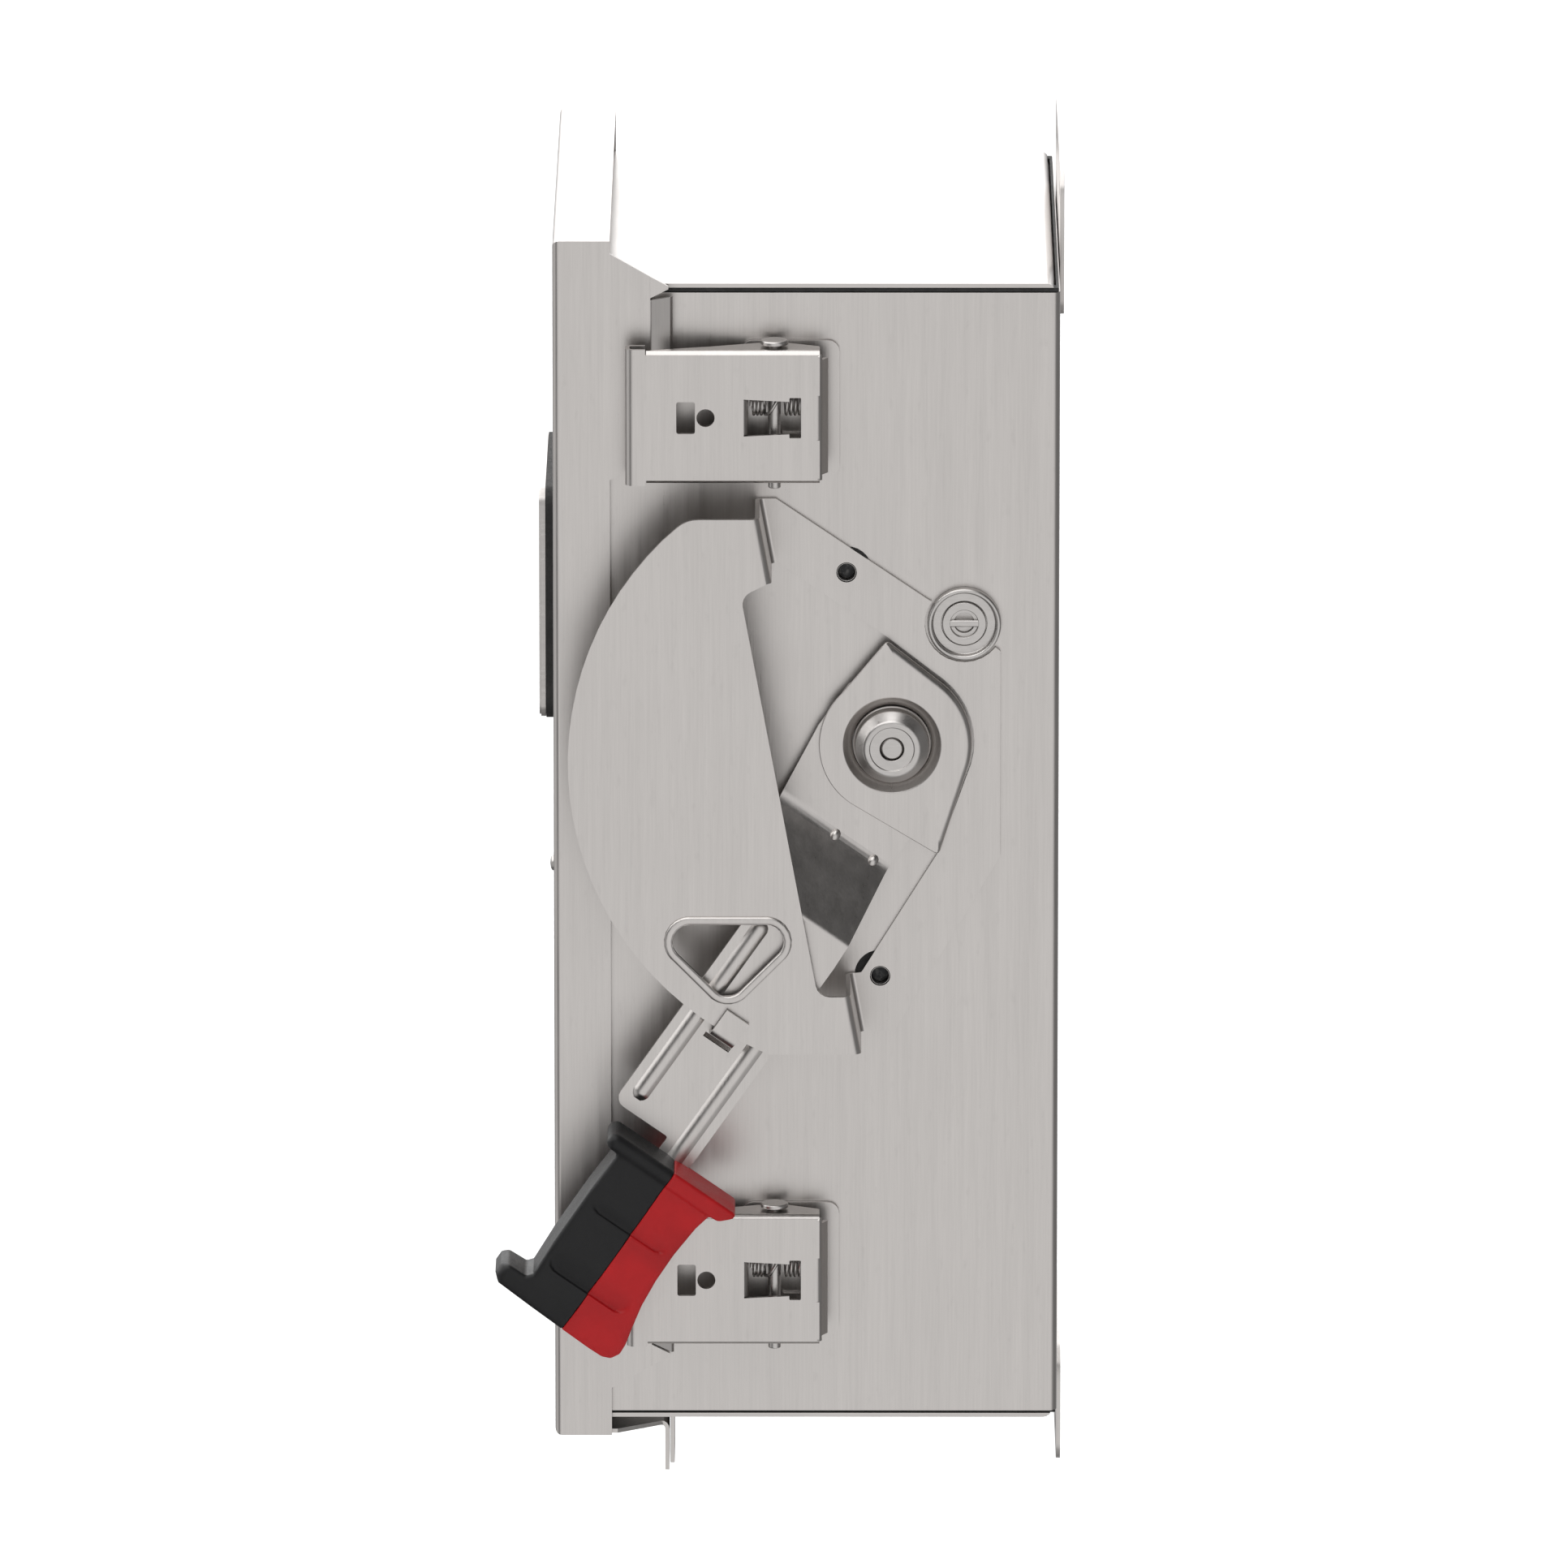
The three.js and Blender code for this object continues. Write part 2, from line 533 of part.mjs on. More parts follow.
// The hub's cover plate: a teardrop with a dished centre, whose rear edge is rolled down over a
// quarter circle.
function hubCam() {
  const apex = [PIVOT_Y - 1.9, PIVOT_Z + 37.4];
  const toe = [PIVOT_Y + 16.6, PIVOT_Z - 39.8];
  const roll = 2.6;
  const outline = (shrink) => [
    [apex[0] - shrink * 0.2, apex[1] - shrink * 1.2, 0.6],
    ...aboutPivot(CAM_R, 134, 236, 12),
    [toe[0] - shrink * 0.9, toe[1] + shrink * 0.6, 0.6],
    ...aboutPivot(CAM_OUTER_R - shrink, -15.5, 52, 10),
  ];
  const steps = 4;
  const layers = [];
  for (let k = 0; k < steps; k++) {
    const angle = (k + 0.5) / steps * Math.PI / 2;
    layers.push(raised(outline(roll * (1 - Math.cos(angle))),
      CAM_LEVEL - roll, CAM_LEVEL - roll + roll * Math.sin((k + 1) / steps * Math.PI / 2)));
  }
  // A point beside an end of the rolled edge, inset from it and run on past it.
  const beyond = (end, degrees, inset, run) => {
    const tangent = new THREE.Vector2(...end).sub(new THREE.Vector2(...pivotPoint(CAM_OUTER_R, degrees)));
    tangent.normalize();
    const towards = new THREE.Vector2(PIVOT_Y, PIVOT_Z).sub(new THREE.Vector2(...end));
    const inwards = towards.addScaledVector(tangent, -towards.dot(tangent)).normalize();
    return [
      end[0] + tangent.x * run + inwards.x * inset,
      end[1] + tangent.y * run + inwards.y * inset,
    ];
  };
  const below = raised([
    beyond(apex, 52, SHEET + 0.2, 6), [PIVOT_Y - 45, PIVOT_Z + 20], [PIVOT_Y - 45, PIVOT_Z - 45],
    beyond(toe, -15.5, SHEET + 0.2, 6), ...aboutPivot(CAM_OUTER_R - SHEET - 0.2, -15.5, 52, 8),
  ], HUB_LEVEL - 1, CAM_LEVEL - 1.1);
  const bore = raised(circle(PIVOT_Y, PIVOT_Z, 17.6, 40), HUB_LEVEL, CAM_LEVEL + 1);
  const dish = turned([
    [13.9, 2.5], [15.4, 2.5], [18.2, CAM_LEVEL - 0.8], [18.2, CAM_LEVEL], [17, CAM_LEVEL], [13.9, 2.5],
  ], PIVOT_Y, PIVOT_Z, 40);
  return join(cut(join(...layers), below, bore), dish);
}

function hubCap() {
  return turned([
    [4.3, 2.2], [13.6, 2.2], [13.6, 6.4], [13.2, 7], [12.6, 7], [12.2, 7.6], [12, 9.4], [11.2, 11.6],
    [9.8, 12.9], [8.2, 13.4], [7.9, 13.1], [4.3, 13.1], [4.3, 2.2],
  ], PIVOT_Y, PIVOT_Z, 40);
}

function operatingShaft() {
  return turned([
    [0, -46], [SHAFT_R - 0.8, -46], [SHAFT_R, -45], [SHAFT_R, 1.9], [4, 1.9], [4, 11.8], [3.4, 12.4],
    [0, 12.4],
  ], PIVOT_Y, PIVOT_Z, 28);
}

// The grip is cored out as one form, then split along the arm into its two colours.
function grip(front) {
  const outline = armOutline([
    [161.4, -5.8, 2.5], [161.4, 46.7, 2.5], [165.8, 46.7, 1.5], [166.5, 41.6, 3],
    [181, 38.8, 12], [200, 39, 16], [222, 43.6, 8], [231.6, 44, 6], [232.6, 34, 6],
    [229.6, 4, 3], [229.4, -10.6, 1.6], [222.6, -10.6, 1.6], [219, 1.8, 5], [186, 0.4, 10],
    [168, -0.6, 3], [166, -5.8, 1.5],
  ]);
  const profile = [
    [160, 27.6, 1], [231, 26.6, 4], [234, 30, 4], [234, 46, 9], [224, 51.4, 12],
    [196, 52.6, 30], [172, 50.6, 12], [166.4, 48.6, 2], [165.8, 49.8, 1], [160, 49.6, 2],
  ];
  const section = [
    [-12, 28, 1], [-1, 26.6, 4], [42, 26.6, 6], [48, 33, 6], [48, 44, 9], [40, 52.6, 9],
    [3, 52.6, 9], [-6.5, 46, 7], [-12, 36, 2],
  ].map(([t, height, radius]) => [-t, height, radius]);
  const endOn = new THREE.Matrix4().makeBasis(
    new THREE.Vector3(0, -Math.cos(ARM_ANGLE), Math.sin(ARM_ANGLE)),
    new THREE.Vector3(1, 0, 0),
    new THREE.Vector3(0, Math.sin(ARM_ANGLE), Math.cos(ARM_ANGLE)),
  ).setPosition(HALF_W, PIVOT_Y, PIVOT_Z);
  const form = raised(outline, 20, 60, 4)
    .intersect(acrossArm(profile, -40, 60))
    .intersect(prism(endOn, section, -240, -150));
  const split = 20.2;
  const half = front ? [[150, -40], [240, -40], [240, split], [150, split]]
    : [[150, split + 0.12], [240, split + 0.12], [240, 60], [150, 60]];
  const tongue = armOutline([[150, 13.2], [176.6, 13.2], [176.6, 26.4], [150, 26.4]]);
  const pocket = raised(tongue, ARM_LEVEL - 0.4, ARM_LEVEL + SHEET + 0.4);
  const grooves = [1 / 3, 2 / 3].map((share) => {
    const s = 168 + 60 * share;
    return capsule([s, -15, 56.4], [s, 55, 56.4], 5);
  });
  return cut(form.intersect(raised(armOutline(half), 20, 60)), pocket, ...grooves);
}

// ---------- interlock release ----------
const interlockBoss = () => turned([
  [8.4, 0.3], [12.8, 0.3], [12.8, 2.6], [12.2, 3.6], [11.3, 3.9], [10.3, 3.5], [9.6, 2.6], [9, 2.3],
  [8.4, 2.3], [8.4, 0.3],
], BOSS_Y, BOSS_Z, 36);

// The release is turned with a coin or screwdriver across the bar in its recess.
function interlockStud() {
  const stud = turned([
    [0, -14], [3.4, -14], [4, -13.4], [4, 0.3], [8, 0.3], [8, 2.4], [7.6, 2.8], [0, 2.8],
  ], BOSS_Y, BOSS_Z, 28);
  const recess = raised(circle(BOSS_Y, BOSS_Z, 5.1, 20), -2.4, 5);
  const bar = box(HALF_W - 3, HALF_W + 2.2, BOSS_Y - 6, BOSS_Y + 6, BOSS_Z - 1.15, BOSS_Z + 1.15);
  return cut(stud, raised(circle(BOSS_Y, BOSS_Z, 5.1, 20), 0.9, 5).subtract(bar));
}

function interlockHook() {
  const outline = [
    [BOSS_Y - 8, BOSS_Z - 8, 7], [BOSS_Y + 8, BOSS_Z - 8, 7], [BOSS_Y + 6, BOSS_Z + 34, 3],
    [BOSS_Y - 14, BOSS_Z + 34, 3], [BOSS_Y - 14, BOSS_Z + 22, 2], [BOSS_Y - 6, BOSS_Z + 24, 2],
  ];
  return cut(raised(outline, -13.6, -11.2), raised(circle(BOSS_Y, BOSS_Z, 4.05, 20), -15, -10));
}

// ---------- latches ----------
function latchBase(z) {
  const half = LATCH_H / 2;
  const plate = cut(
    raised(rectangle(-113, -78.8, z - half, z + half, 4), GAP, GAP + SHEET),
    raised(rectangle(-99, -82.8, z - 9, z + 9, 1), -1, 3),
  );
  const ears = [z - half + 3.4, z + half - 3.4 - SHEET].map((low) => {
    const outline = [
      [HALF_W + 0.5, -110], [HALF_W + 15, -105, 4], [HALF_W + 15, -98, 4], [HALF_W + 0.5, -93],
    ];
    return prism('plan', outline, low, low + SHEET);
  });
  const bore = prism('plan', circle(HALF_W + LATCH_PIN_LEVEL, LATCH_PIN_Y, 2.6), z - 40, z + 40);
  return cut(join(plate, ...ears), bore);
}

function latchPin(z) {
  const shank = (radius, low, high) =>
    prism('plan', circle(HALF_W + LATCH_PIN_LEVEL, LATCH_PIN_Y, radius, 20), low, high);
  const top = z + LATCH_H / 2;
  const head = join(shank(4.85, top + 0.4, top + 1.8), shank(4.5, top + 1.7, top + 2));
  return join(shank(2.2, z - LATCH_H / 2 - 2.4, top + 1), head);
}

// A channel-shaped cover with windows. Its front edge is rolled inwards to hold the door's lip, its
// rear edge slopes down between relieved corners, and a tab is turned in at the long window.
function latchLever(z) {
  const half = LATCH_H / 2;
  const web = prism('plan', bentSheet([
    [-146.6, 9.2], [LATCH_FRONT, 9.2], [LATCH_FRONT, LATCH_COVER], [LATCH_REAR - 1.9, LATCH_COVER],
    [LATCH_REAR + 1, 12.2],
  ].map(([y, level]) => [HALF_W + level, y]), 1.4), z - half, z + half);
  const edges = (y0, level, inset) => [[z - half - 1, z - half + inset], [z + half - inset, z + half + 1]]
    .map(([low, high]) => box(HALF_W, HALF_W + level, y0, LATCH_REAR + 3, low, high));
  const corners = edges(LATCH_FRONT + 7, 30, 1.9);
  const reliefs = edges(LATCH_REAR - 2.6, LATCH_COVER - SHEET, 3.8);
  const sides = [-1, 1].map((side) => {
    const outside = z + side * (half - 0.5);
    const path = [[LATCH_COVER, z + side * 8], [LATCH_COVER, outside], [0, outside]];
    const section = bentSheet(side > 0 ? path : path.reverse(), 1.4)
      .map(([level, height, radius]) => [HALF_W + level, height, radius]);
    const outline = [
      [LATCH_FRONT + 7.3, LATCH_COVER], [LATCH_FRONT + 7.3, 15.4], [-124, 9.4, 12], [-107, 3.2, 5],
      [-97, 3.2, 4], [LATCH_REAR - 1.9, 8.8, 1.5], [LATCH_REAR - 1.9, LATCH_COVER],
    ].map(([y, level, radius]) => [HALF_W + level, y, radius]);
    return prism('front', section, -LATCH_REAR, -LATCH_FRONT)
      .intersect(prism('plan', outline, z - 40, z + 40));
  });
  const [front, rear] = [-112.2, -92.2];
  const tab = prism('plan', bentSheet([
    [front - 4, LATCH_COVER], [front + SHEET, LATCH_COVER], [front + SHEET, 12],
  ].map(([y, level]) => [HALF_W + level, y]), 1.4), z - 6.2, z + 6.2);
  const windows = [
    raised(rectangle(-135.7, -129.2, z - 5.7, z + 5.7, 0.8), 10, 20),
    raised(circle(-125.5, z, 3.2), 12, 20),
    raised([[front, z - 6.6], [rear - 4, z - 5.8], [rear - 4, z + 5.8], [front, z + 6.6]], 12.5, 20),
    raised(rectangle(rear - 4.1, rear, z - 7.2, z + 7.2, 0.4), 12.5, 20),
  ];
  const bore = prism('plan', circle(HALF_W + LATCH_PIN_LEVEL, LATCH_PIN_Y, 2.6), z - 40, z + 40);
  return cut(join(cut(web, ...corners, ...reliefs, ...windows), ...sides, tab), bore);
}

// One wire: a short coil in front of the pin, a straight run over it and a longer coil behind.
class LatchSpring extends THREE.Curve {
  constructor(z) {
    super();
    this.z = z;
  }

  getPoint(t) {
    const radius = 3.5;
    const [start, near, far, end] = [-109.6, LATCH_PIN_Y - 3.6, LATCH_PIN_Y + 3.6, -92.6];
    const [first, second] = [2.75, 4];
    const parts = [[0, 0.38, start, near, 0, first], [0.38, 0.46, near, far, first, first + 0.5],
      [0.46, 1, far, end, first + 0.5, first + 0.5 + second]];
    const [t0, t1, y0, y1, turn0, turn1] = parts.find(([, until]) => t <= until);
    const share = (t - t0) / (t1 - t0);
    const angle = 2 * Math.PI * THREE.MathUtils.lerp(turn0, turn1, share);
    return new THREE.Vector3(
      HALF_W + LATCH_PIN_LEVEL + radius * Math.cos(angle),
      THREE.MathUtils.lerp(y0, y1, share),
      this.z + SPRING_OFFSET + radius * Math.sin(angle),
    );
  }
}

// ---------- switch inside ----------
function insulatingBase() {
  const back = BODY_BACK - SHEET - GAP;
  const plate = box(-78, 78, -26, -14, 96, 352);
  const posts = [[-66, 110], [66, 110], [-66, 338], [66, 338]].map(([x, z]) =>
    prism('front', circle(x, z, 8, 16), -back, 15));
  const fences = [-22.5, 22.5].flatMap((x) => [
    box(x - 1.5, x + 1.5, -70, -25, 262, 350), box(x - 1.5, x + 1.5, -60, -25, 100, 150)]);
  return join(plate, ...posts, ...fences);
}

const leafPair = (x, y0, y1, z0, z1) => [-1, 1].map((side) => {
  const near = x + side * 1.3;
  const far = x + side * 2.9;
  return box(Math.min(near, far), Math.max(near, far), y0, y1, z0, z1);
});

// A lug block, a copper strap and the two spring leaves that grip a blade.
function lineTerminal(x) {
  const strap = box(x - 8, x + 8, -29.4, -26.3, 266, 340);
  const lug = box(x - 10, x + 10, -46, -29, 312, 340);
  const wireWay = prism('plan', circle(x, -38, 5.4, 18), 300, 350);
  return cut(join(strap, lug, ...leafPair(x, -56, -29, 268, 286)), wireWay);
}

function loadTerminal(x) {
  const strap = box(x - 8, x + 8, -29.4, -26.3, 108, 200);
  const lug = box(x - 10, x + 10, -46, -29, 108, 136);
  const wireWay = prism('plan', circle(x, -38, 5.4, 18), 100, 150);
  const ears = leafPair(x, -56, -29, BLADE_Z - 9, BLADE_Z + 9);
  const bore = raised(circle(BLADE_Y, BLADE_Z, 3.3, 16), -2 * HALF_W, 0);
  return cut(join(strap, lug, ...ears), wireWay, bore);
}

// A blade drawn closed and turned open about its hinge.
function turnedOpen(piece) {
  const open = new THREE.Matrix4().makeTranslation(0, BLADE_Y, BLADE_Z)
    .multiply(new THREE.Matrix4().makeRotationX(BLADE_OPEN))
    .multiply(new THREE.Matrix4().makeTranslation(0, -BLADE_Y, -BLADE_Z));
  return piece.transform(open.elements);
}

function blade(x) {
  const outline = [
    [BLADE_Y - 5.5, BLADE_Z - 5.5, 5], [BLADE_Y + 5.5, BLADE_Z - 5.5, 5],
    [BLADE_Y + 5.5, BLADE_Z + BLADE_LENGTH, 3], [BLADE_Y - 5.5, BLADE_Z + BLADE_LENGTH, 3],
  ];
  const bore = raised(circle(BLADE_Y, BLADE_Z, 3.3, 16), -2 * HALF_W, 0);
  return turnedOpen(cut(prism('side', outline, x - 0.9, x + 0.9), bore));
}

function crossbar() {
  const z = BLADE_Z + 44;
  const bar = box(-72, 72, BLADE_Y - 15, BLADE_Y + 9, z - 9, z + 9);
  const slots = POLES.map((x) => box(x - 1.2, x + 1.2, BLADE_Y - 5.8, BLADE_Y + 5.8, z - 10, z + 10));
  return turnedOpen(cut(bar, ...slots));
}

const hingeRod = () => prism('side', circle(BLADE_Y, BLADE_Z, 3, 16), -72, 72);

function arcChute() {
  const outer = box(-68, 68, -112, -74, 262, 302);
  const slots = POLES.map((x) => box(x - 12, x + 12, -120, -70, 255, 299));
  return cut(outer, ...slots);
}

function groundBar() {
  const bar = box(-98, -86, -20, BODY_BACK - SHEET - GAP, 40, 96);
  const holes = [50, 62, 74, 86].map((z) => raised(circle(-12, z, 2.6, 14), -220, -180));
  return cut(bar, ...holes);
}

function driveCrank() {
  const outline = [
    ...aboutPivot(15, 20, 200, 10), pivotPoint(44, 214), pivotPoint(44, 232), ...aboutPivot(15, 250, 340, 6),
  ];
  return cut(raised(outline, -32, -27), raised(circle(PIVOT_Y, PIVOT_Z, SHAFT_R + 0.05, 28), -40, -20));
}

class ShaftSpring extends THREE.Curve {
  getPoint(t) {
    const angle = 2 * Math.PI * 4 * t;
    return new THREE.Vector3(
      HALF_W - 23 + 12 * t, PIVOT_Y + 11.5 * Math.cos(angle), PIVOT_Z + 11.5 * Math.sin(angle));
  }
}

// ---------- assembly ----------
part('enclosure_shell', enclosureShell(), stainless);
part('top_cap', cap(true), stainless);
part('bottom_cap', cap(false), stainless);
part('top_seam_seal', seamSeal(BODY_TOP - SHEET - TOP_SEAM + 0.1, BODY_TOP - SHEET - 0.1), blackRubber);
part('bottom_seam_seal', seamSeal(BODY_BOTTOM + SHEET + 0.1, BODY_BOTTOM + SHEET + BOTTOM_SEAM - 0.1),
  blackRubber);
part('top_mounting_foot', mountingFoot(396.6, 449), stainless);
part('bottom_mounting_foot', mountingFoot(-21, 21), stainless);
part('body_padlock_tab', padlockTab(
  [[-118, BODY_BOTTOM - GAP], [-138.4, BODY_BOTTOM - GAP], [-138.4, -11.8]],
  rectangle(74, 98, -141, -118), -6.5,
), stainless);

part('door_panel', doorPanel(), stainless);
part('door_gasket', doorGasket(), blackRubber);
part('window_bezel', windowBezel(), blackRubber);
part('window_trim', windowTrim(), brightSteel);
part('window_lens', prism('front', windowRectangle(LENS_W / 2, LENS_H / 2, 3.6),
  -DOOR_FRONT + 2.4, -DOOR_FRONT + 4.9), clearPlastic);
part('window_retainer', frameRing(94, 82, 4, 8, 175.8, 177.2), stainless);
part('label_plate', prism('front', rectangle(-70, 70, 383.6, 395.9, 1.5),
  -DOOR_FRONT + 0.1, -DOOR_FRONT + 0.5), brightSteel);
part('door_rivet', doorRivet(), brightSteel);
for (const [name, z] of Object.entries(HINGE_HEIGHTS)) {
  part(`body_hinge_leaf_${name}`, bodyLeaf(z), stainless);
  part(`door_hinge_leaf_${name}`, doorLeaf(z), stainless);
  part(`hinge_pin_${name}`, hingePin(z), brightSteel);
}

part('handle_guard', handleGuard(), stainless);
for (const [name, place] of Object.entries(RIVETS)) {
  part(`guard_rivet_${name}`, guardRivet(place), brightSteel);
  part(`guard_seal_washer_${name}`, sealWasher(place), blackRubber);
}
part('handle_arm', handleArm(), stainless);
part('hub_cam', hubCam(), stainless);
part('hub_cap', hubCap(), brightSteel);
part('operating_shaft', operatingShaft(), brightSteel);
part('grip_black', grip(true), blackPlastic);
part('grip_red', grip(false), redPlastic);

part('interlock_boss', interlockBoss(), stainless);
part('interlock_stud', interlockStud(), brightSteel);
part('interlock_hook', interlockHook(), stainless);

for (const [name, z] of Object.entries(LATCH_HEIGHTS)) {
  part(`latch_base_${name}`, latchBase(z), stainless);
  part(`latch_lever_${name}`, latchLever(z), stainless);
  part(`latch_pin_${name}`, latchPin(z), brightSteel);
  part(`latch_spring_${name}`, wire(new LatchSpring(z), 0.7, 64), brightSteel);
}

part('insulating_base', insulatingBase(), phenolic);
POLES.forEach((x, i) => {
  part(`line_terminal_${i + 1}`, lineTerminal(x), copper);
  part(`load_terminal_${i + 1}`, loadTerminal(x), copper);
  part(`blade_${i + 1}`, blade(x), copper);
});
part('blade_crossbar', crossbar(), phenolic);
part('blade_hinge_rod', hingeRod(), brightSteel);
part('arc_chute', arcChute(), phenolic);
part('ground_bar', groundBar(), aluminium);
part('drive_crank', driveCrank(), stainless);
part('shaft_spring', wire(new ShaftSpring(), 1.2, 44), brightSteel);

export default object;
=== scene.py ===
import json
import math

import bmesh
import bpy
import numpy as np
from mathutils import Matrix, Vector


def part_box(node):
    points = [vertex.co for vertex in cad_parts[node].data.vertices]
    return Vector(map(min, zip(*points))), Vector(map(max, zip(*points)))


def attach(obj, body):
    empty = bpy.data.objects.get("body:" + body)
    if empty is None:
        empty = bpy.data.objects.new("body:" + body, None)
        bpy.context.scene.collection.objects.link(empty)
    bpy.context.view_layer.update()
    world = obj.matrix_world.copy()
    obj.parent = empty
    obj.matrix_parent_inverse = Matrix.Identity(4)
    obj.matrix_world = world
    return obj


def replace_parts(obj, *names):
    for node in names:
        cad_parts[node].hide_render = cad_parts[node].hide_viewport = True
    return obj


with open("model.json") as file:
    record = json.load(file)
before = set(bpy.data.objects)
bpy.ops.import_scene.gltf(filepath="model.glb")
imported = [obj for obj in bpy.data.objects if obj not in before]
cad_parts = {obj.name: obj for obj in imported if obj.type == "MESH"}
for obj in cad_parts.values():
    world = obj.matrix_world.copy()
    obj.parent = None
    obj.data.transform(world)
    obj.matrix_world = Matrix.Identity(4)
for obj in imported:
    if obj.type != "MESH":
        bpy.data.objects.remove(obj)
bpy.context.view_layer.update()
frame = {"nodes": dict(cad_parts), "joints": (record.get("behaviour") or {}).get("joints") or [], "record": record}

MM = 0.001
NODES = frame["nodes"]
JOINTS = {joint["name"]: joint for joint in frame["joints"]}
SLOTS = {part["node"]: part["material_slot"] for part in frame["record"]["subparts"]}
BODIES = frame["record"]["behaviour"]["bodies"]
BODY_OF = {node: body for body, nodes in BODIES.items() for node in nodes}
# The outer face of the side wall that carries the handle; "level" is always a height above it.
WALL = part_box("enclosure_shell")[1].x
WHICH = ("upper", "lower")


# ---------- camera ----------
VIEW_ELEVATION = math.radians(14.06)
VIEW_AZIMUTH = math.radians(0.11)
VIEW_DISTANCE = 7.157
AIM_BEFORE_BACK = 0.0966
AIM_HEIGHT = 0.2115
SENSOR = 36.0
LENS = 461.1
FAR_CLIP = 40


def add_camera():
    """A long lens looks at the box from its handle side, a little from above."""
    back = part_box("enclosure_shell")[1].y
    target = Vector((0, back - AIM_BEFORE_BACK, AIM_HEIGHT))
    reach = Vector((math.cos(VIEW_ELEVATION) * math.cos(VIEW_AZIMUTH),
                    math.cos(VIEW_ELEVATION) * math.sin(VIEW_AZIMUTH),
                    math.sin(VIEW_ELEVATION)))
    camera = bpy.data.objects.new("camera", bpy.data.cameras.new("camera"))
    bpy.context.collection.objects.link(camera)
    camera.data.sensor_width = SENSOR
    camera.data.lens = LENS
    camera.data.clip_end = FAR_CLIP
    camera.location = target + reach * VIEW_DISTANCE
    camera.rotation_euler = (-reach).to_track_quat("-Z", "Y").to_euler()
    bpy.context.scene.camera = camera


# ---------- materials ----------
# The colour sockets of a mix node, by number, because its number and colour sockets share names.
COLOUR_A, COLOUR_B, COLOUR_RESULT = 6, 7, 2
STEEL_TONE = (0.515, 0.491, 0.474)
BRIGHT_TONE = (0.51, 0.49, 0.475)
STEEL_ROUGHNESS = 0.32


def shaded(tone, factor):
    return tuple(c * factor for c in tone)


class Nodes:
    """A material's node tree, with short calls to add and link its nodes."""

    def __init__(self, name):
        self.material = bpy.data.materials.new(name)
        self.material.use_nodes = True
        self.tree = self.material.node_tree
        self.shader = self.tree.nodes["Principled BSDF"]

    def add(self, kind, **values):
        node = self.tree.nodes.new(kind)
        for key, value in values.items():
            setattr(node, key, value)
        return node

    def link(self, source, target):
        self.tree.links.new(source, target)

    def place(self, scale):
        """Object coordinates stretched by a scale along each axis."""
        coordinates = self.add("ShaderNodeTexCoord")
        mapping = self.add("ShaderNodeMapping")
        mapping.inputs["Scale"].default_value = scale
        self.link(coordinates.outputs["Object"], mapping.inputs["Vector"])
        return mapping.outputs["Vector"]

    def noise(self, scale, detail=3.0, place=(1, 1, 1), roughness=0.5):
        node = self.add("ShaderNodeTexNoise")
        node.inputs["Scale"].default_value = scale
        node.inputs["Detail"].default_value = detail
        node.inputs["Roughness"].default_value = roughness
        self.link(self.place(place), node.inputs["Vector"])
        return node.outputs["Fac"]

    def remap(self, value, low, high, start=0.3, end=0.7):
        node = self.add("ShaderNodeMapRange")
        node.inputs["From Min"].default_value = start
        node.inputs["From Max"].default_value = end
        node.inputs["To Min"].default_value = low
        node.inputs["To Max"].default_value = high
        self.link(value, node.inputs["Value"])
        return node.outputs["Result"]

    def mix(self, factor, first, second):
        node = self.add("ShaderNodeMix", data_type="RGBA")
        self.fill(node.inputs["Factor"], factor)
        self.fill(node.inputs[COLOUR_A], first)
        self.fill(node.inputs[COLOUR_B], second)
        return node.outputs[COLOUR_RESULT]

    def math(self, operation, first, second):
        node = self.add("ShaderNodeMath", operation=operation)
        self.fill(node.inputs[0], first)
        self.fill(node.inputs[1], second)
        return node.outputs[0]

    def fill(self, socket, value):
        if isinstance(value, bpy.types.NodeSocket):
            self.link(value, socket)
        elif isinstance(value, tuple):
            socket.default_value = (*value, 1.0) if len(value) == 3 else value
        else:
            socket.default_value = value

    def bump(self, height, strength, distance):
        node = self.add("ShaderNodeBump")
        node.inputs["Strength"].default_value = strength
        node.inputs["Distance"].default_value = distance
        self.link(height, node.inputs["Height"])
        self.link(node.outputs["Normal"], self.shader.inputs["Normal"])

    def set(self, **values):
        for key, value in values.items():
            self.fill(self.shader.inputs[key.replace("_", " ")], value)


def brushed_steel(name, along):
    """Satin stainless: fine streaks along one axis, cloudy mottling and a few deeper lines."""
    n = Nodes(name)
    tone, rough = STEEL_TONE, STEEL_ROUGHNESS
    stretch = tuple(0.028 if axis == along else 1.0 for axis in "xyz")
    grain = n.noise(1500, 4, stretch, 0.65)
    streaks = n.noise(260, 3, stretch, 0.6)
    clouds = n.noise(38, 3)
    flecks = n.noise(420, 2, tuple(0.35 if axis == along else 1.0 for axis in "xyz"))
    brushing = n.math("ADD", n.math("MULTIPLY", grain, 0.5), n.math("MULTIPLY", streaks, 0.5))
    shade = n.remap(brushing, 0.0, 1.0)
    cloudy = n.mix(n.remap(clouds, 0.0, 1.0), shaded(tone, 0.975), shaded(tone, 1.02))
    streaky = n.mix(shade, shaded(tone, 0.87), shaded(tone, 1.12))
    colour = n.mix(0.7, cloudy, streaky)
    flecked = n.mix(n.remap(flecks, 0.0, 0.16, 0.62, 0.78), colour, shaded(tone, 0.7))
    n.set(Base_Color=flecked, Metallic=1.0, IOR=2.2)
    n.set(Roughness=n.math("ADD", n.remap(shade, rough - 0.05, rough + 0.05, 0.0, 1.0),
                           n.remap(clouds, -0.02, 0.025)))
    n.bump(n.math("ADD", grain, n.math("MULTIPLY", flecks, 0.5)), 0.10, 0.00012)
    return n.material


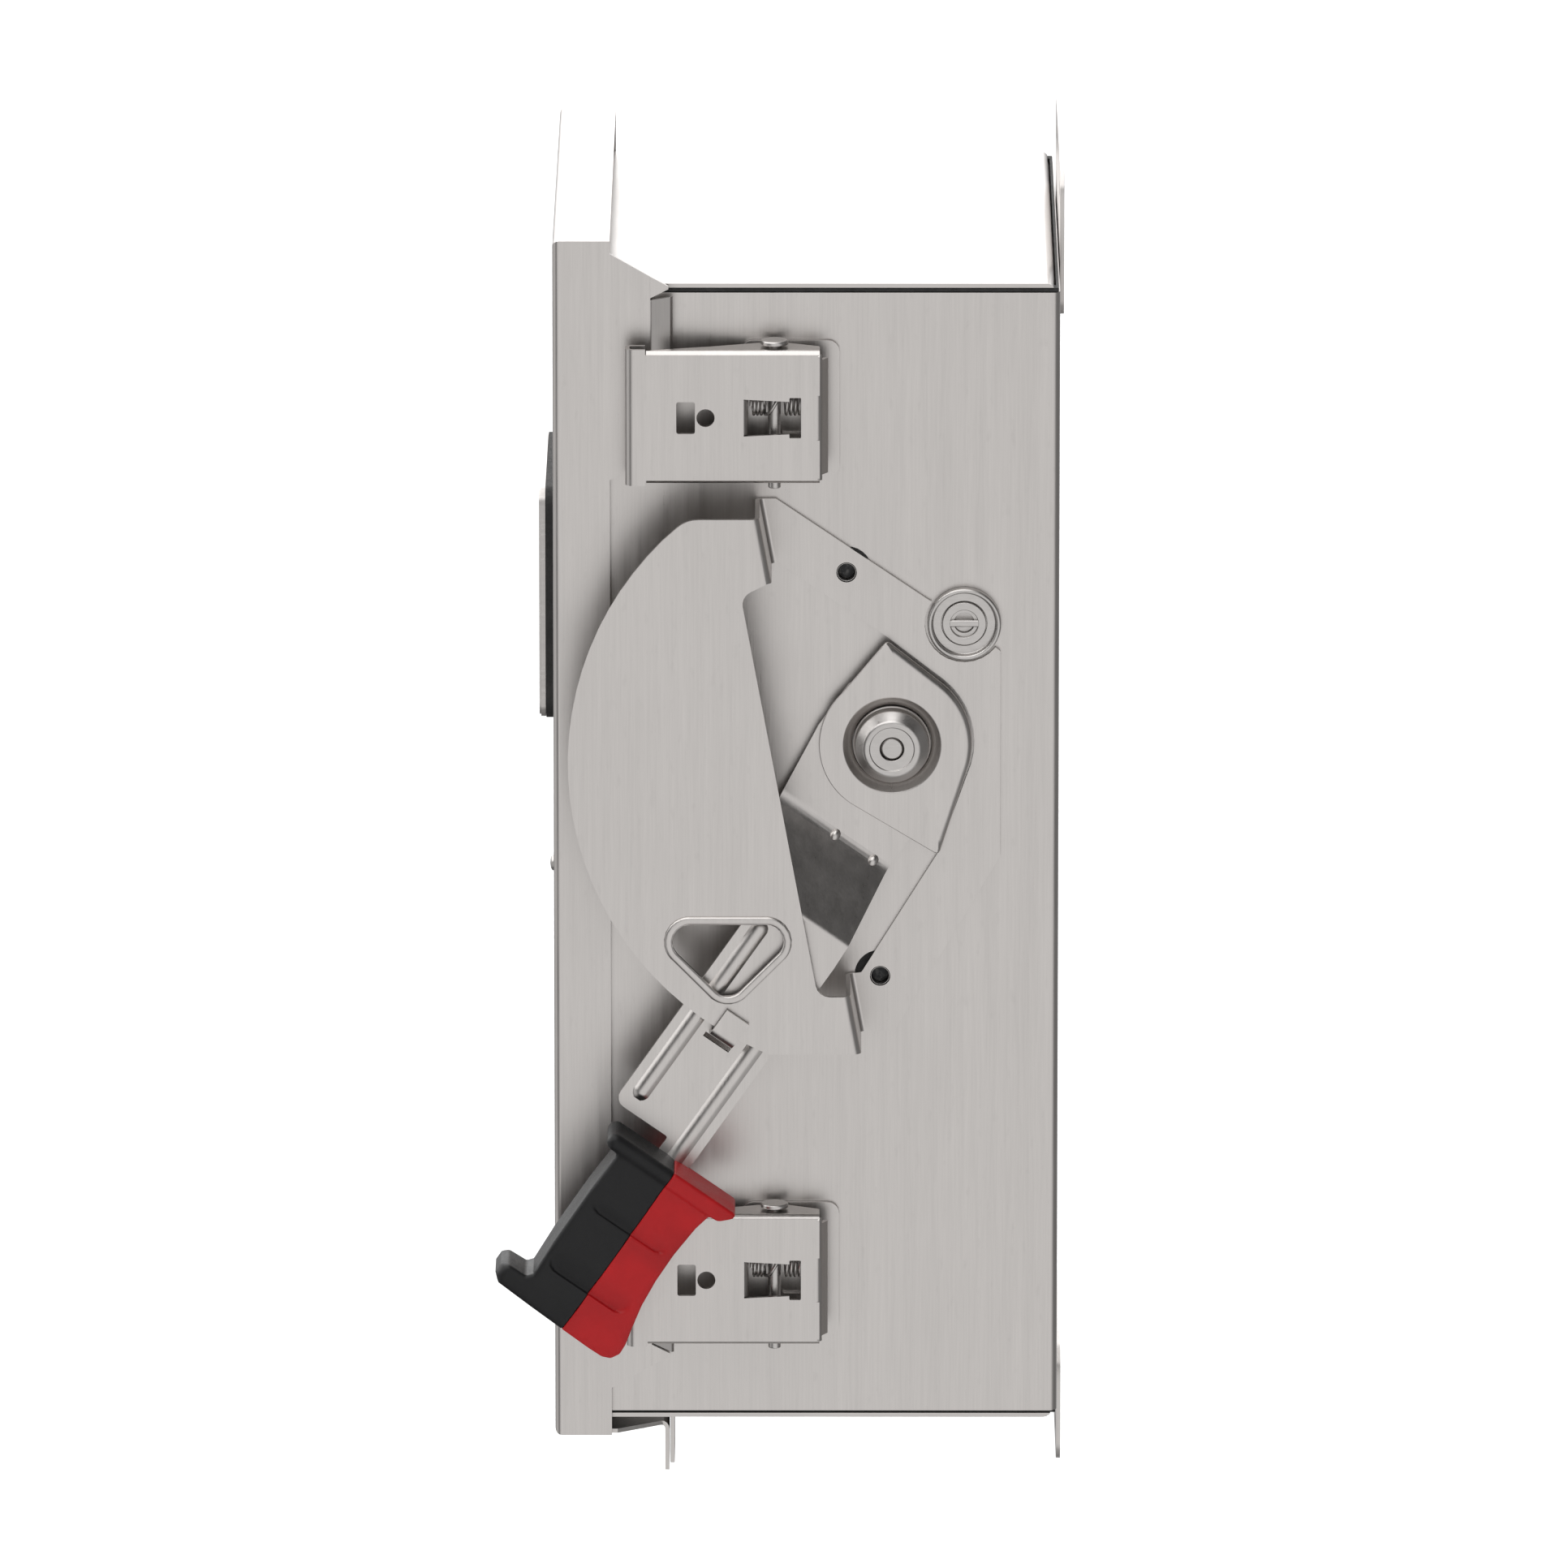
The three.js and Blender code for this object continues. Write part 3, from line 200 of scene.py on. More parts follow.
def bright_steel(name):
    """Turned or drawn steel: smoother, with faint tool marks and handling marks."""
    n = Nodes(name)
    tone, rough = BRIGHT_TONE, STEEL_ROUGHNESS
    marks = n.noise(1900, 2, (1, 0.15, 1))
    smudges = n.noise(150, 3)
    n.set(Base_Color=n.mix(n.remap(smudges, 0.0, 1.0), shaded(tone, 0.92), tone), Metallic=1.0)
    n.set(Roughness=n.math("ADD", n.remap(marks, rough - 0.05, rough + 0.07),
                           n.remap(smudges, -0.03, 0.05)))
    n.bump(marks, 0.06, 0.0001)
    return n.material


def moulded_plastic(name, tone, rough, grain=1300, gloss=0.2):
    """Moulded plastic with a fine sparked texture and slightly polished wear."""
    n = Nodes(name)
    fine = n.noise(grain, 3, roughness=0.7)
    worn = n.noise(70, 3)
    n.set(Base_Color=n.mix(n.remap(worn, 0.0, 1.0), shaded(tone, 0.86), shaded(tone, 1.12)))
    n.set(Roughness=n.math("ADD", n.remap(fine, rough - 0.05, rough + 0.06),
                           n.remap(worn, -0.05, 0.05)))
    n.set(Specular_IOR_Level=gloss)
    n.bump(fine, 0.22, 0.00018)
    return n.material


def painted_bore_shade(name):
    """Painted shade for the rivets' deep bores: near-black steel, rubbed grey in places."""
    n = Nodes(name)
    rubbed = n.noise(600, 4)
    n.set(Base_Color=n.mix(n.remap(rubbed, 0.0, 1.0, 0.5, 0.8),
                           (0.018, 0.018, 0.019), (0.09, 0.088, 0.085)))
    n.set(Metallic=0.6, Roughness=n.remap(rubbed, 0.5, 0.35))
    n.bump(rubbed, 0.15, 0.0001)
    return n.material


def seal_rubber(name):
    """Matt rubber with dust in its pores."""
    n = Nodes(name)
    pores = n.noise(900, 4, roughness=0.7)
    dust = n.noise(110, 4)
    n.set(Base_Color=n.mix(n.remap(dust, 0.0, 0.5), (0.009, 0.009, 0.009), (0.03, 0.029, 0.028)))
    n.set(Roughness=n.remap(pores, 0.6, 0.85))
    n.bump(pores, 0.3, 0.0002)
    return n.material


def clear_plastic(name):
    """The viewing window's lens, clear with faint wiping marks."""
    n = Nodes(name)
    wipes = n.noise(420, 3, (1, 1, 0.1))
    n.set(Base_Color=(0.93, 0.96, 0.96), Transmission_Weight=0.92, IOR=1.58)
    n.set(Roughness=n.remap(wipes, 0.02, 0.09))
    n.bump(wipes, 0.02, 0.0001)
    return n.material


def rolled_copper(name):
    """Copper bus: rolled grain with brown oxide in clouds."""
    n = Nodes(name)
    grain = n.noise(1200, 3, (1, 1, 0.05))
    oxide = n.noise(90, 4)
    n.set(Base_Color=n.mix(n.remap(oxide, 0.0, 0.6, 0.45, 0.75), (0.66, 0.30, 0.17), (0.30, 0.12, 0.07)))
    n.set(Metallic=1.0)
    n.set(Roughness=n.math("ADD", n.remap(grain, 0.2, 0.32), n.remap(oxide, 0.0, 0.12)))
    n.bump(grain, 0.08, 0.0001)
    return n.material


def cut_aluminium(name):
    """Extruded aluminium with saw marks."""
    n = Nodes(name)
    marks = n.noise(1100, 3, (1, 1, 0.06))
    n.set(Base_Color=n.mix(n.remap(marks, 0.0, 1.0), (0.52, 0.53, 0.54), (0.64, 0.65, 0.66)))
    n.set(Metallic=1.0)
    n.set(Roughness=n.remap(marks, 0.3, 0.45))
    n.bump(marks, 0.12, 0.0001)
    return n.material


STEEL = {axis: brushed_steel(f"brushed_stainless_{axis}", axis) for axis in "yz"}
FINISH = {
    "brushed_stainless": STEEL["z"],
    "bright_steel": bright_steel("bright_steel"),
    "seal_rubber": seal_rubber("seal_rubber"),
    "grip_black": moulded_plastic("grip_black", (0.0105, 0.0105, 0.011), 0.46),
    "grip_red": moulded_plastic("grip_red", (0.32, 0.0065, 0.0085), 0.42),
    "clear_window": clear_plastic("clear_window"),
    "insulating_plastic": moulded_plastic("insulating_plastic", (0.045, 0.037, 0.032), 0.55, 700, 0.4),
    "copper": rolled_copper("copper"),
    "aluminium": cut_aluminium("aluminium"),
}
# Nodes whose brushing runs front to back, and pieces whose finish is not their node's.
GRAIN_ALONG_Y = ("top_cap", "bottom_cap")
PAINTED_BORE_SHADE = painted_bore_shade("painted_bore_shade")
# The rivets' plugs take a near-black finish that paints the shade deep in their bores.
MATERIAL_OF = {f"guard_rivet_{which}_shade_plug": PAINTED_BORE_SHADE for which in WHICH}


# ---------- finish of the CAD nodes ----------
SMOOTH_LIMIT = math.radians(32)
FLAT_LIMIT = math.radians(0.4)
EDGE_LIMIT = math.radians(40)
WELD_DISTANCE = 1e-6
EDGE_WIDTH = 0.22 * MM
WIDER_EDGES = {"handle_guard": 0.35 * MM}


def smooth_by_angle(limit):
    """A node group that shades smooth and keeps edges sharper than the limit."""
    group = bpy.data.node_groups.new("smooth_by_angle", "GeometryNodeTree")
    group.interface.new_socket("Geometry", in_out="INPUT", socket_type="NodeSocketGeometry")
    group.interface.new_socket("Geometry", in_out="OUTPUT", socket_type="NodeSocketGeometry")
    add = group.nodes.new
    start, end = add("NodeGroupInput"), add("NodeGroupOutput")
    faces, edges = add("GeometryNodeSetShadeSmooth"), add("GeometryNodeSetShadeSmooth")
    angle, compare = add("GeometryNodeInputMeshEdgeAngle"), add("FunctionNodeCompare")
    edges.domain = "EDGE"
    edges.inputs["Shade Smooth"].default_value = False
    compare.operation = "GREATER_THAN"
    compare.inputs["B"].default_value = limit
    link = group.links.new
    link(start.outputs[0], faces.inputs["Geometry"])
    link(faces.outputs["Geometry"], edges.inputs["Geometry"])
    link(angle.outputs["Unsigned Angle"], compare.inputs["A"])
    link(compare.outputs["Result"], edges.inputs["Selection"])
    link(edges.outputs["Geometry"], end.inputs[0])
    return group


SMOOTH = smooth_by_angle(SMOOTH_LIMIT)


def add_smoothing(piece):
    """Shades bends and turned surfaces smooth, and keeps the flats beside them flat."""
    modifier = piece.modifiers.new("smooth", "NODES")
    modifier.node_group = SMOOTH
    weighted = piece.modifiers.new("flats", "WEIGHTED_NORMAL")
    weighted.mode = "FACE_AREA"
    weighted.weight = 100
    weighted.keep_sharp = True


def finish_node(name):
    """Joins a CAD node's coplanar facets, breaks its sharp edges and gives it its material."""
    piece = NODES[name]
    weld = piece.modifiers.new("weld", "WELD")
    weld.merge_threshold = WELD_DISTANCE
    flat = piece.modifiers.new("flat", "DECIMATE")
    flat.decimate_type = "DISSOLVE"
    flat.angle_limit = FLAT_LIMIT
    edge = piece.modifiers.new("edge", "BEVEL")
    edge.width = WIDER_EDGES.get(name, EDGE_WIDTH)
    edge.segments = 2
    edge.limit_method = "ANGLE"
    edge.angle_limit = EDGE_LIMIT
    edge.use_clamp_overlap = True
    add_smoothing(piece)
    material = STEEL["y"] if name in GRAIN_ALONG_Y else FINISH[SLOTS[name]]
    piece.data.materials.clear()
    piece.data.materials.append(material)


# ---------- pieces made here ----------
def finished(name, vertices, faces, node, smooth=True, closed=False):
    """A mesh piece in metres, with the slot and the body of the CAD node it belongs to."""
    mesh = bpy.data.meshes.new(name)
    mesh.from_pydata([tuple(v) for v in vertices], [], [tuple(int(i) for i in f) for f in faces])
    mesh.update()
    if closed:
        work = bmesh.new()
        work.from_mesh(mesh)
        bmesh.ops.recalc_face_normals(work, faces=work.faces)
        work.to_mesh(mesh)
        work.free()
    piece = bpy.data.objects.new(name, mesh)
    bpy.context.collection.objects.link(piece)
    mesh.materials.append(MATERIAL_OF.get(name) or FINISH[SLOTS[node]])
    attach(piece, BODY_OF[node])
    if smooth:
        add_smoothing(piece)
    return piece


def filleted(profile, steps=5):
    """A closed outline of (first, second, fillet) corners with its corners rounded."""
    points = []
    for i, corner in enumerate(profile):
        here = Vector(corner[:2])
        fillet = corner[2] if len(corner) > 2 else 0
        if not fillet:
            points.append(here)
            continue
        back = (Vector(profile[i - 1][:2]) - here).normalized()
        ahead = (Vector(profile[(i + 1) % len(profile)][:2]) - here).normalized()
        half = back.angle(ahead) / 2
        centre = here + (back + ahead).normalized() * fillet / math.sin(half)
        start = here + back * fillet / math.tan(half) - centre
        end = here + ahead * fillet / math.tan(half) - centre
        points += [centre + start.lerp(end, k / steps).normalized() * fillet for k in range(steps + 1)]
    return points


def off_wall(y, z):
    """Places (radius, angle, height) about an axis that stands on the side wall."""
    def place(radius, angle, height):
        across, up = radius * MM * math.cos(angle), radius * MM * math.sin(angle)
        return WALL + height * MM, y + across, z + up
    return place


def upright(x, y, z):
    """Places (radius, angle, height) about a vertical axis."""
    def place(radius, angle, height):
        across, back = radius * MM * math.cos(angle), radius * MM * math.sin(angle)
        return x + across, y + back, z + height * MM
    return place


def lofted(name, node, rings):
    """A closed skin over rings of points, each ring joined to the next and the last to the first."""
    count = len(rings[0])
    faces = []
    for k in range(len(rings)):
        this, following = k * count, (k + 1) % len(rings) * count
        for i in range(count):
            j = (i + 1) % count
            faces.append((this + i, this + j, following + j, following + i))
    return finished(name, [point for ring in rings for point in ring], faces, node, closed=True)


def turned(name, node, profile, place, steps=96, stands_in=True):
    """A turned piece from its closed profile of (radius, height, fillet) corners."""
    section = filleted(profile)
    angles = [2 * math.pi * k / steps for k in range(steps)]
    rings = [[place(radius, angle, height) for radius, height in section] for angle in angles]
    piece = lofted(name, node, rings)
    if stands_in:
        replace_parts(piece, node)


def tube(name, node, path, radius, sides=10):
    """A round wire along a path of points in metres."""
    vertices, faces = [], []
    up = Vector((1, 0, 0))
    for i, here in enumerate(path):
        ahead = (path[min(i + 1, len(path) - 1)] - path[max(i - 1, 0)]).normalized()
        right = ahead.cross(up).normalized()
        up = right.cross(ahead).normalized()
        for k in range(sides):
            angle = 2 * math.pi * k / sides
            vertices.append(here + (right * math.cos(angle) + up * math.sin(angle)) * radius)
    for start in range(0, (len(path) - 1) * sides, sides):
        for k in range(sides):
            m = (k + 1) % sides
            faces.append((start + k, start + m, start + sides + m, start + sides + k))
    faces.append(tuple(range(sides - 1, -1, -1)))
    faces.append(tuple(range(len(vertices) - sides, len(vertices))))
    return finished(name, vertices, faces, node)


# Moulded forms are fields: negative inside, and near the surface the distance to it in millimetres.
FAR = 1e9


def polygon_field(a, b, corners):
    """Signed distance from the points (a, b) to a closed polygon."""
    distance = np.full(np.broadcast(a, b).shape, FAR)
    inside = np.zeros(distance.shape, dtype=bool)
    for (a0, b0), (a1, b1) in zip(corners, corners[1:] + corners[:1]):
        ea, eb = a1 - a0, b1 - b0
        wa, wb = a - a0, b - b0
        share = np.clip((wa * ea + wb * eb) / (ea * ea + eb * eb), 0, 1)
        distance = np.minimum(distance, np.hypot(wa - ea * share, wb - eb * share))
        crosses = ((b0 <= b) & (b1 > b)) | ((b1 <= b) & (b0 > b))
        side = (a0 + (b - b0) * ea / (eb if eb else 1e-9)) > a
        inside ^= crosses & side
    return np.where(inside, -distance, distance)


def smooth_max(a, b, k):
    """The larger of two fields, blended over a width k."""
    h = np.clip(0.5 - 0.5 * (b - a) / k, 0, 1)
    return b * (1 - h) + a * h + k * h * (1 - h)


def smooth_min(a, b, k):
    """The smaller of two fields, blended over a width k."""
    return -smooth_max(-a, -b, k)


def rounded_box_field(coordinates, low, high, radius):
    """Signed distance to a box with rounded edges."""
    outside = 0
    inner = -FAR
    for value, a, b in zip(coordinates, low, high):
        q = np.abs(value - (a + b) / 2) - (b - a) / 2 + radius
        outside = outside + np.maximum(q, 0) ** 2
        inner = np.maximum(inner, q)
    return np.sqrt(outside) + np.minimum(inner, 0) - radius


def skin(field):
    """Vertices (in grid steps) and quads of the surface where a field on a grid crosses zero."""
    shape = np.array(field.shape) - 1
    total = np.zeros((*shape, 3))
    count = np.zeros(shape)
    grids = np.meshgrid(*[np.arange(n) for n in field.shape], indexing="ij")
    crossings = []
    for axis in range(3):
        low = [slice(None)] * 3
        high = [slice(None)] * 3
        low[axis], high[axis] = slice(0, -1), slice(1, None)
        a, b = field[tuple(low)], field[tuple(high)]
        crosses = (a < 0) != (b < 0)
        share = np.where(crosses, a / np.where(crosses, a - b, 1), 0)
        at = np.nonzero(crosses)
        where = np.stack([grids[k][tuple(low)][at] for k in range(3)], axis=1).astype(float)
        where[:, axis] += share[at]
        index = np.stack(at, axis=1)
        others = [k for k in range(3) if k != axis]
        ring = []
        for du, dv in ((0, 0), (1, 0), (1, 1), (0, 1)):
            cell = index.copy()
            cell[:, others[0]] -= du
            cell[:, others[1]] -= dv
            ring.append(cell)
            valid = np.all((cell >= 0) & (cell < shape), axis=1)
            np.add.at(total, tuple(cell[valid].T), where[valid])
            np.add.at(count, tuple(cell[valid].T), 1)
        valid = np.all([np.all((c >= 0) & (c < shape), axis=1) for c in ring], axis=0)
        leaving = (a[at] < 0)[valid]
        if axis == 1:
            leaving = ~leaving
        crossings.append(([c[valid] for c in ring], leaving))
    used = count > 0
    number = np.full(tuple(shape), -1)
    number[used] = np.arange(used.sum())
    vertices = total[used] / count[used][:, None]
    quads = []
    for ring, leaving in crossings:
        quad = np.stack([number[tuple(c.T)] for c in ring], axis=1)
        quads.append(np.where(leaving[:, None], quad, quad[:, ::-1]))
    return vertices, np.concatenate(quads)


# ---------- handle ----------
PIVOT = Vector(JOINTS["handle_throw"]["pos_m"])
ARM_TURN = math.radians(35)
ALONG = Vector((0, -math.sin(ARM_TURN), -math.cos(ARM_TURN)))
ACROSS = Vector((0, math.cos(ARM_TURN), -math.sin(ARM_TURN)))
OUT = Vector((1, 0, 0))
ARM_FACE = 30.5
RIB_REACH = 3.1
RIB_HEIGHT = 1.55
CAM_FACE = 7.1
CAM_BEHIND = 6.0

# The grip, in millimetres: along the arm from the pivot, across it, and out from the side wall.
GRIP_OUTLINE = [
    (163, 0.2), (184, -0.6), (206, -0.4), (219.6, 0.4), (221.6, -1.2), (221.9, -8.4), (223.8, -10.4),
    (227.4, -10.4), (229.6, -7.6), (230.4, 8), (231.4, 32), (231.2, 37.5), (229.6, 40.6), (226.4, 42.2),
    (222, 41.8), (216, 40.2), (207, 38.2), (197, 37.2), (186, 37), (174, 38), (163, 40.4)]
GRIP_SECTION = [
    (-13, 28), (42, 26.8), (47.5, 31), (47.5, 44), (43.5, 50.6), (38, 52.4), (20, 52.9), (2, 52.5),
    (-8, 51), (-13, 46)]
GRIP_PROFILE = [
    (160, 27.8), (230, 26.8), (234.4, 31), (235, 44), (231, 49.8), (222, 51.6), (205, 52.2),
    (186, 51.4), (170, 49.6), (160, 49.2)]
SPLIT = 20.2
SEAM = 0.06
SCOOPS = ((177.5, 188.4), (203.5, 214.4))
SCOOP_DEPTH = 2.3
SCOOP_TOP = 52.3
SCOOP_MIDDLE = 18.5
SCOOP_HALF = 17
RED_COLLAR = (161.3, 5, 28), (167.2, 46.6, 50.8), 1.3
RED_COLLAR_CORNER = 167.2 + 46.6 - 4.2
BLACK_COLLAR = (161.3, -5.8, 28), (167.4, 30, 50.8), 2.9
GRID_STEP = 0.55


def on_arm(along, across, level):
    """A point in the handle arm's own directions, in millimetres from the pivot and the side wall."""
    return Vector((WALL, PIVOT.y, PIVOT.z)) + (ALONG * along + ACROSS * across + OUT * level) * MM


def grip_field(s, t, level, red):
    """The moulded grip: a tapered body with two finger scoops, a collar and a hooked lower end."""
    outline = polygon_field(s, t, GRIP_OUTLINE)
    section = polygon_field(t, level, GRIP_SECTION)
    profile = polygon_field(s, level, GRIP_PROFILE)
    body = smooth_max(smooth_max(outline, section, 2.0), profile, 2.2)
    for start, end in SCOOPS:
        slope = SCOOP_DEPTH / (end - start)
        above = (SCOOP_TOP - slope * (s - start) - level) / math.hypot(1, slope)
        aside = np.abs(t - SCOOP_MIDDLE) - SCOOP_HALF + 0.12 * (s - start - 6) ** 2
        hollow = smooth_max(smooth_max(above, s - end, 0.5), aside / 2.2, 1.6)
        body = smooth_max(body, -hollow, 0.5)
    if red:
        collar = rounded_box_field((s, t, level), *RED_COLLAR)
        collar = smooth_max(collar, (s + t - RED_COLLAR_CORNER) / math.sqrt(2), 0.8)
        half = SPLIT + SEAM - t
    else:
        collar = rounded_box_field((s, t, level), *BLACK_COLLAR)
        half = t - SPLIT + SEAM
    form = smooth_min(body, collar, 1.4)
    return smooth_max(form, half, 0.35)


def add_grip(name, red):
    """One half of the grip, skinned from its field on a grid."""
    low = (158, SPLIT - 2 if red else -13, 24)
    high = (236, 50 if red else SPLIT + 2, 56)
    axes = [np.arange(a, b, GRID_STEP) for a, b in zip(low, high)]
    s, t, level = np.meshgrid(*axes, indexing="ij")
    points, quads = skin(grip_field(s, t, level, red))
    vertices = [on_arm(*(np.array(low) + p * GRID_STEP)) for p in points]
    piece = finished(f"{name}_moulding", vertices, quads, name)
    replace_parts(piece, name)


def add_rib(name, start, end, across):
    """A pressed rib that stands out of the arm's face between tight fillets."""
    reach, rows, columns = RIB_REACH, 150, 30
    vertices, faces = [], []
    for i in range(rows + 1):
        s = start - reach + (end - start + 2 * reach) * i / rows
        for j in range(columns + 1):
            t = reach * (2 * j / columns - 1)
            away = min(math.hypot(s - min(max(s, start), end), t) / reach, 1)
            rise = RIB_HEIGHT * (1 - away * away) * (1 - 0.25 * away ** 6)
            vertices.append(on_arm(s, across + t, ARM_FACE - 0.02 + rise))
    width = columns + 1
    for i in range(rows):
        for j in range(columns):
            k = i * width + j
            faces.append((k, k + 1, k + width + 1, k + width))
    finished(name, vertices, faces, "handle_arm")


def arc(radius, start, end, steps=40):
    """Points on an arc about the origin, between two angles in degrees."""
    angles = [math.radians(start + (end - start) * k / steps) for k in range(steps + 1)]
    return [(radius * math.cos(angle), radius * math.sin(angle)) for angle in angles]


def cam_outline():
    """The cam's outline about the pivot: corners and arcs in millimetres, anticlockwise."""
    return [(-1.9, 37.4)] + arc(25.5, 134, 236) + [(16.6, -39.8)] + arc(28.1, -15.5, 52)


def reach_of(outline, angle):
    """How far the outline lies from the pivot in one direction."""
    way = (math.cos(angle), math.sin(angle))
    for (a0, b0), (a1, b1) in zip(outline, outline[1:] + outline[:1]):
        ea, eb = a1 - a0, b1 - b0
        across = way[0] * eb - way[1] * ea
        if abs(across) < 1e-9:
            continue
        distance = (a0 * eb - b0 * ea) / across
        share = (a0 * way[1] - b0 * way[0]) / across
        if distance > 0 and -1e-6 <= share <= 1 + 1e-6:
            return distance
    raise ValueError("the outline does not surround the pivot")


def add_cam():
    """The hub's cover plate: its rear edge rolls down in a quarter circle and its centre is dished."""
    count = 288
    angles = [2 * math.pi * k / count for k in range(count)]
    outline = cam_outline()
    sharp = np.array([reach_of(outline, angle) for angle in angles])
    reach = (np.roll(sharp, 1) + 2 * sharp + np.roll(sharp, -1)) / 4
    slope = (np.roll(reach, -1) - np.roll(reach, 1)) / (angles[2] - angles[0])
    lean = np.hypot(1, slope / reach)
    place = off_wall(PIVOT.y, PIVOT.z)
    quarter = [math.pi * j / 16 for j in range(9)]
    dish = [(17.6, CAM_FACE), (17.2, CAM_FACE - 0.08), (16.95, CAM_FACE - 0.25), (14.2, 4.3), (13.9, 3.9),
            (13.9, 2.5), (15.4, 2.5), (18.2, CAM_BEHIND)]
    rings = []
    for angle, rim, tilt in zip(angles, reach, lean):
        degrees = (math.degrees(angle) + 180) % 360 - 180
        rolled = min(max((degrees + 69) / 4, 0), 1) * min(max((94 - degrees) / 4, 0), 1)
        roll, base, inner = 0.3 + 2.3 * rolled, 5.85 - 1.35 * rolled, 0.6 + 0.7 * rolled
        edge = [(0, base)]
        edge += [(roll * (1 - math.cos(a)), CAM_FACE - roll * (1 - math.sin(a))) for a in quarter]
        ring = [(rim - inset * tilt, level) for inset, level in edge] + dish
        ring += [(rim - inner * tilt, CAM_BEHIND), (rim - inner * tilt, base)]
        rings.append([place(radius, angle, level) for radius, level in ring])
    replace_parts(lofted("hub_cam_rolled", "hub_cam", rings), "hub_cam")


def add_hub():
    """The stepped cap over the shaft's end."""
    turned("hub_cap_turned", "hub_cap", [
        (4.2, 2.2), (13.6, 2.2), (13.6, 5.0, 0.3), (13.1, 5.4, 0.4), (12.9, 9.6, 1.6), (9.8, 13.5, 1.8),
        (7.9, 13.5, 0.25), (7.7, 13.0, 0.2), (4.2, 13.0, 0.3)], off_wall(PIVOT.y, PIVOT.z))


# The guard's padlock window: corners (y, z, radius) in millimetres, and the level its rim starts from.
TRIANGLE = [(-149.2, 198.1, 7.6), (-86.2, 198.1, 7.6), (-117.8, 166.2, 7.6)]
RIM_FACE = 34.45
RIM_HALF = 1.5
RIM_HEIGHT = 1.1
RIM_SQUARENESS = 2.6


def add_window_rim():
    """The full, slightly squared rim rolled round the guard's padlock window."""
    path = filleted(TRIANGLE, 14)
    rings = []
    for i, here in enumerate(path):
        ahead = (path[(i + 1) % len(path)] - path[i - 1]).normalized()
        outward = Vector((-ahead.y, ahead.x))
        ring = []
        for k in range(13):
            angle = math.pi * k / 12
            a, b = math.cos(angle), math.sin(angle)
            swell = (abs(a) ** RIM_SQUARENESS + abs(b) ** RIM_SQUARENESS) ** (-1 / RIM_SQUARENESS)
            y, z = here + outward * RIM_HALF * a * swell
            ring.append((WALL + (RIM_FACE + RIM_HEIGHT * b * swell) * MM, y * MM, z * MM))
        rings.append(ring)
    lofted("guard_window_rim", "handle_guard", rings)


# Turned profiles: closed lists of (radius, height, fillet) in millimetres. AXIS is a radius of almost nothing.
AXIS = 0.01
RIVET = [(AXIS, -6.4), (4.9, -6.4), (4.9, -1.9), (3.3, -1.9), (3.3, 1.45, 0.1), (3.08, 1.45, 0.1),
         (3.0, -5.2, 0.4), (AXIS, -5.6)]
# The plug is a near-black disc that paints the shade deep in the rivet's bore.
RIVET_SHADE_PLUG = [(AXIS, -4.8), (2.96, -4.8), (2.96, -1.5, 0.3), (AXIS, -1.3)]
RIVET_STEPS = 64
INTERLOCK_BOSS = [(8.0, 0.3), (12.9, 0.3), (12.9, 3.9, 0.84), (11.15, 3.9, 0.84), (11.1, 1.4, 0.5),
                  (8.0, 1.4, 0.15)]
INTERLOCK_STUD = [(AXIS, -14), (4, -14, 0.5), (4, 0.4), (7.7, 0.4), (7.7, 2.3, 0.35), (4.9, 2.3, 0.3),
                  (4.85, 0.8, 0.1), (3.6, 0.8, 0.1), (3.6, -0.9, 0.3), (AXIS, -0.9)]


def add_rivets():
    """The guard's two hollow rivets, each with a near-black plug down its bore that paints the shade deep inside
    it.
    """
    for which in WHICH:
        node = f"guard_rivet_{which}"
        low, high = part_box(node)
        place = off_wall((low.y + high.y) / 2, (low.z + high.z) / 2)
        turned(f"{node}_turned", node, RIVET, place, RIVET_STEPS)
        turned(f"{node}_shade_plug", node, RIVET_SHADE_PLUG, place, RIVET_STEPS, stands_in=False)


def add_interlock():
    """The release's ring, its cupped stud, and the bar across the cup that a coin turns."""
    y, z = JOINTS["interlock_turn"]["pos_m"][1:]
    place = off_wall(y, z)
    turned("interlock_boss_turned", "interlock_boss", INTERLOCK_BOSS, place)
    turned("interlock_stud_turned", "interlock_stud", INTERLOCK_STUD, place)
    half_y, half_z, low, high, edge = 4.95, 1.15, -0.8, 2.2, 0.3
    corners = [(half_z, low), (half_z, high - edge), (half_z - edge, high), (edge - half_z, high),
               (-half_z, high - edge), (-half_z, low)]
    rings = [[(WALL + level * MM, y + end * MM, z + height * MM) for height, level in corners]
             for end in (-half_y, half_y)]
    n = len(corners)
    faces = [tuple(range(n)), tuple(range(2 * n - 1, n - 1, -1))]
    faces += [(i, i + n, (i + 1) % n + n, (i + 1) % n) for i in range(n)]
    finished("interlock_stud_bar", rings[0] + rings[1], faces, "interlock_stud", smooth=False)


def add_latch_pins():
    """Each latch's hinge pin, with its domed head on top."""
    for which in WHICH:
        node = f"latch_pin_{which}"
        x, y = JOINTS[f"{which}_latch_swing"]["pos_m"][:2]
        low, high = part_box(node)
        length = (high.z - low.z) / MM
        turned(f"{node}_turned", node, [
            (AXIS, 0), (2.2, 0, 0.4), (2.2, length - 1.7), (4.85, length - 1.7, 0.35),
            (4.85, length - 0.1, 0.6), (AXIS, length)], upright(x, y, low.z))


SPRING_RADIUS = 3.75 * MM
SPRING_WIRE = 0.56 * MM
SPRING_ABOVE_PIN = 3.4 * MM
# Each run of the spring: where it starts and ends along y in millimetres, and the turns there.
SPRING_RUNS = ((-8.2, -3.35, 0, 3.75), (-3.35, 3.35, 3.75, 4.25), (3.35, 9.4, 4.25, 8.25))


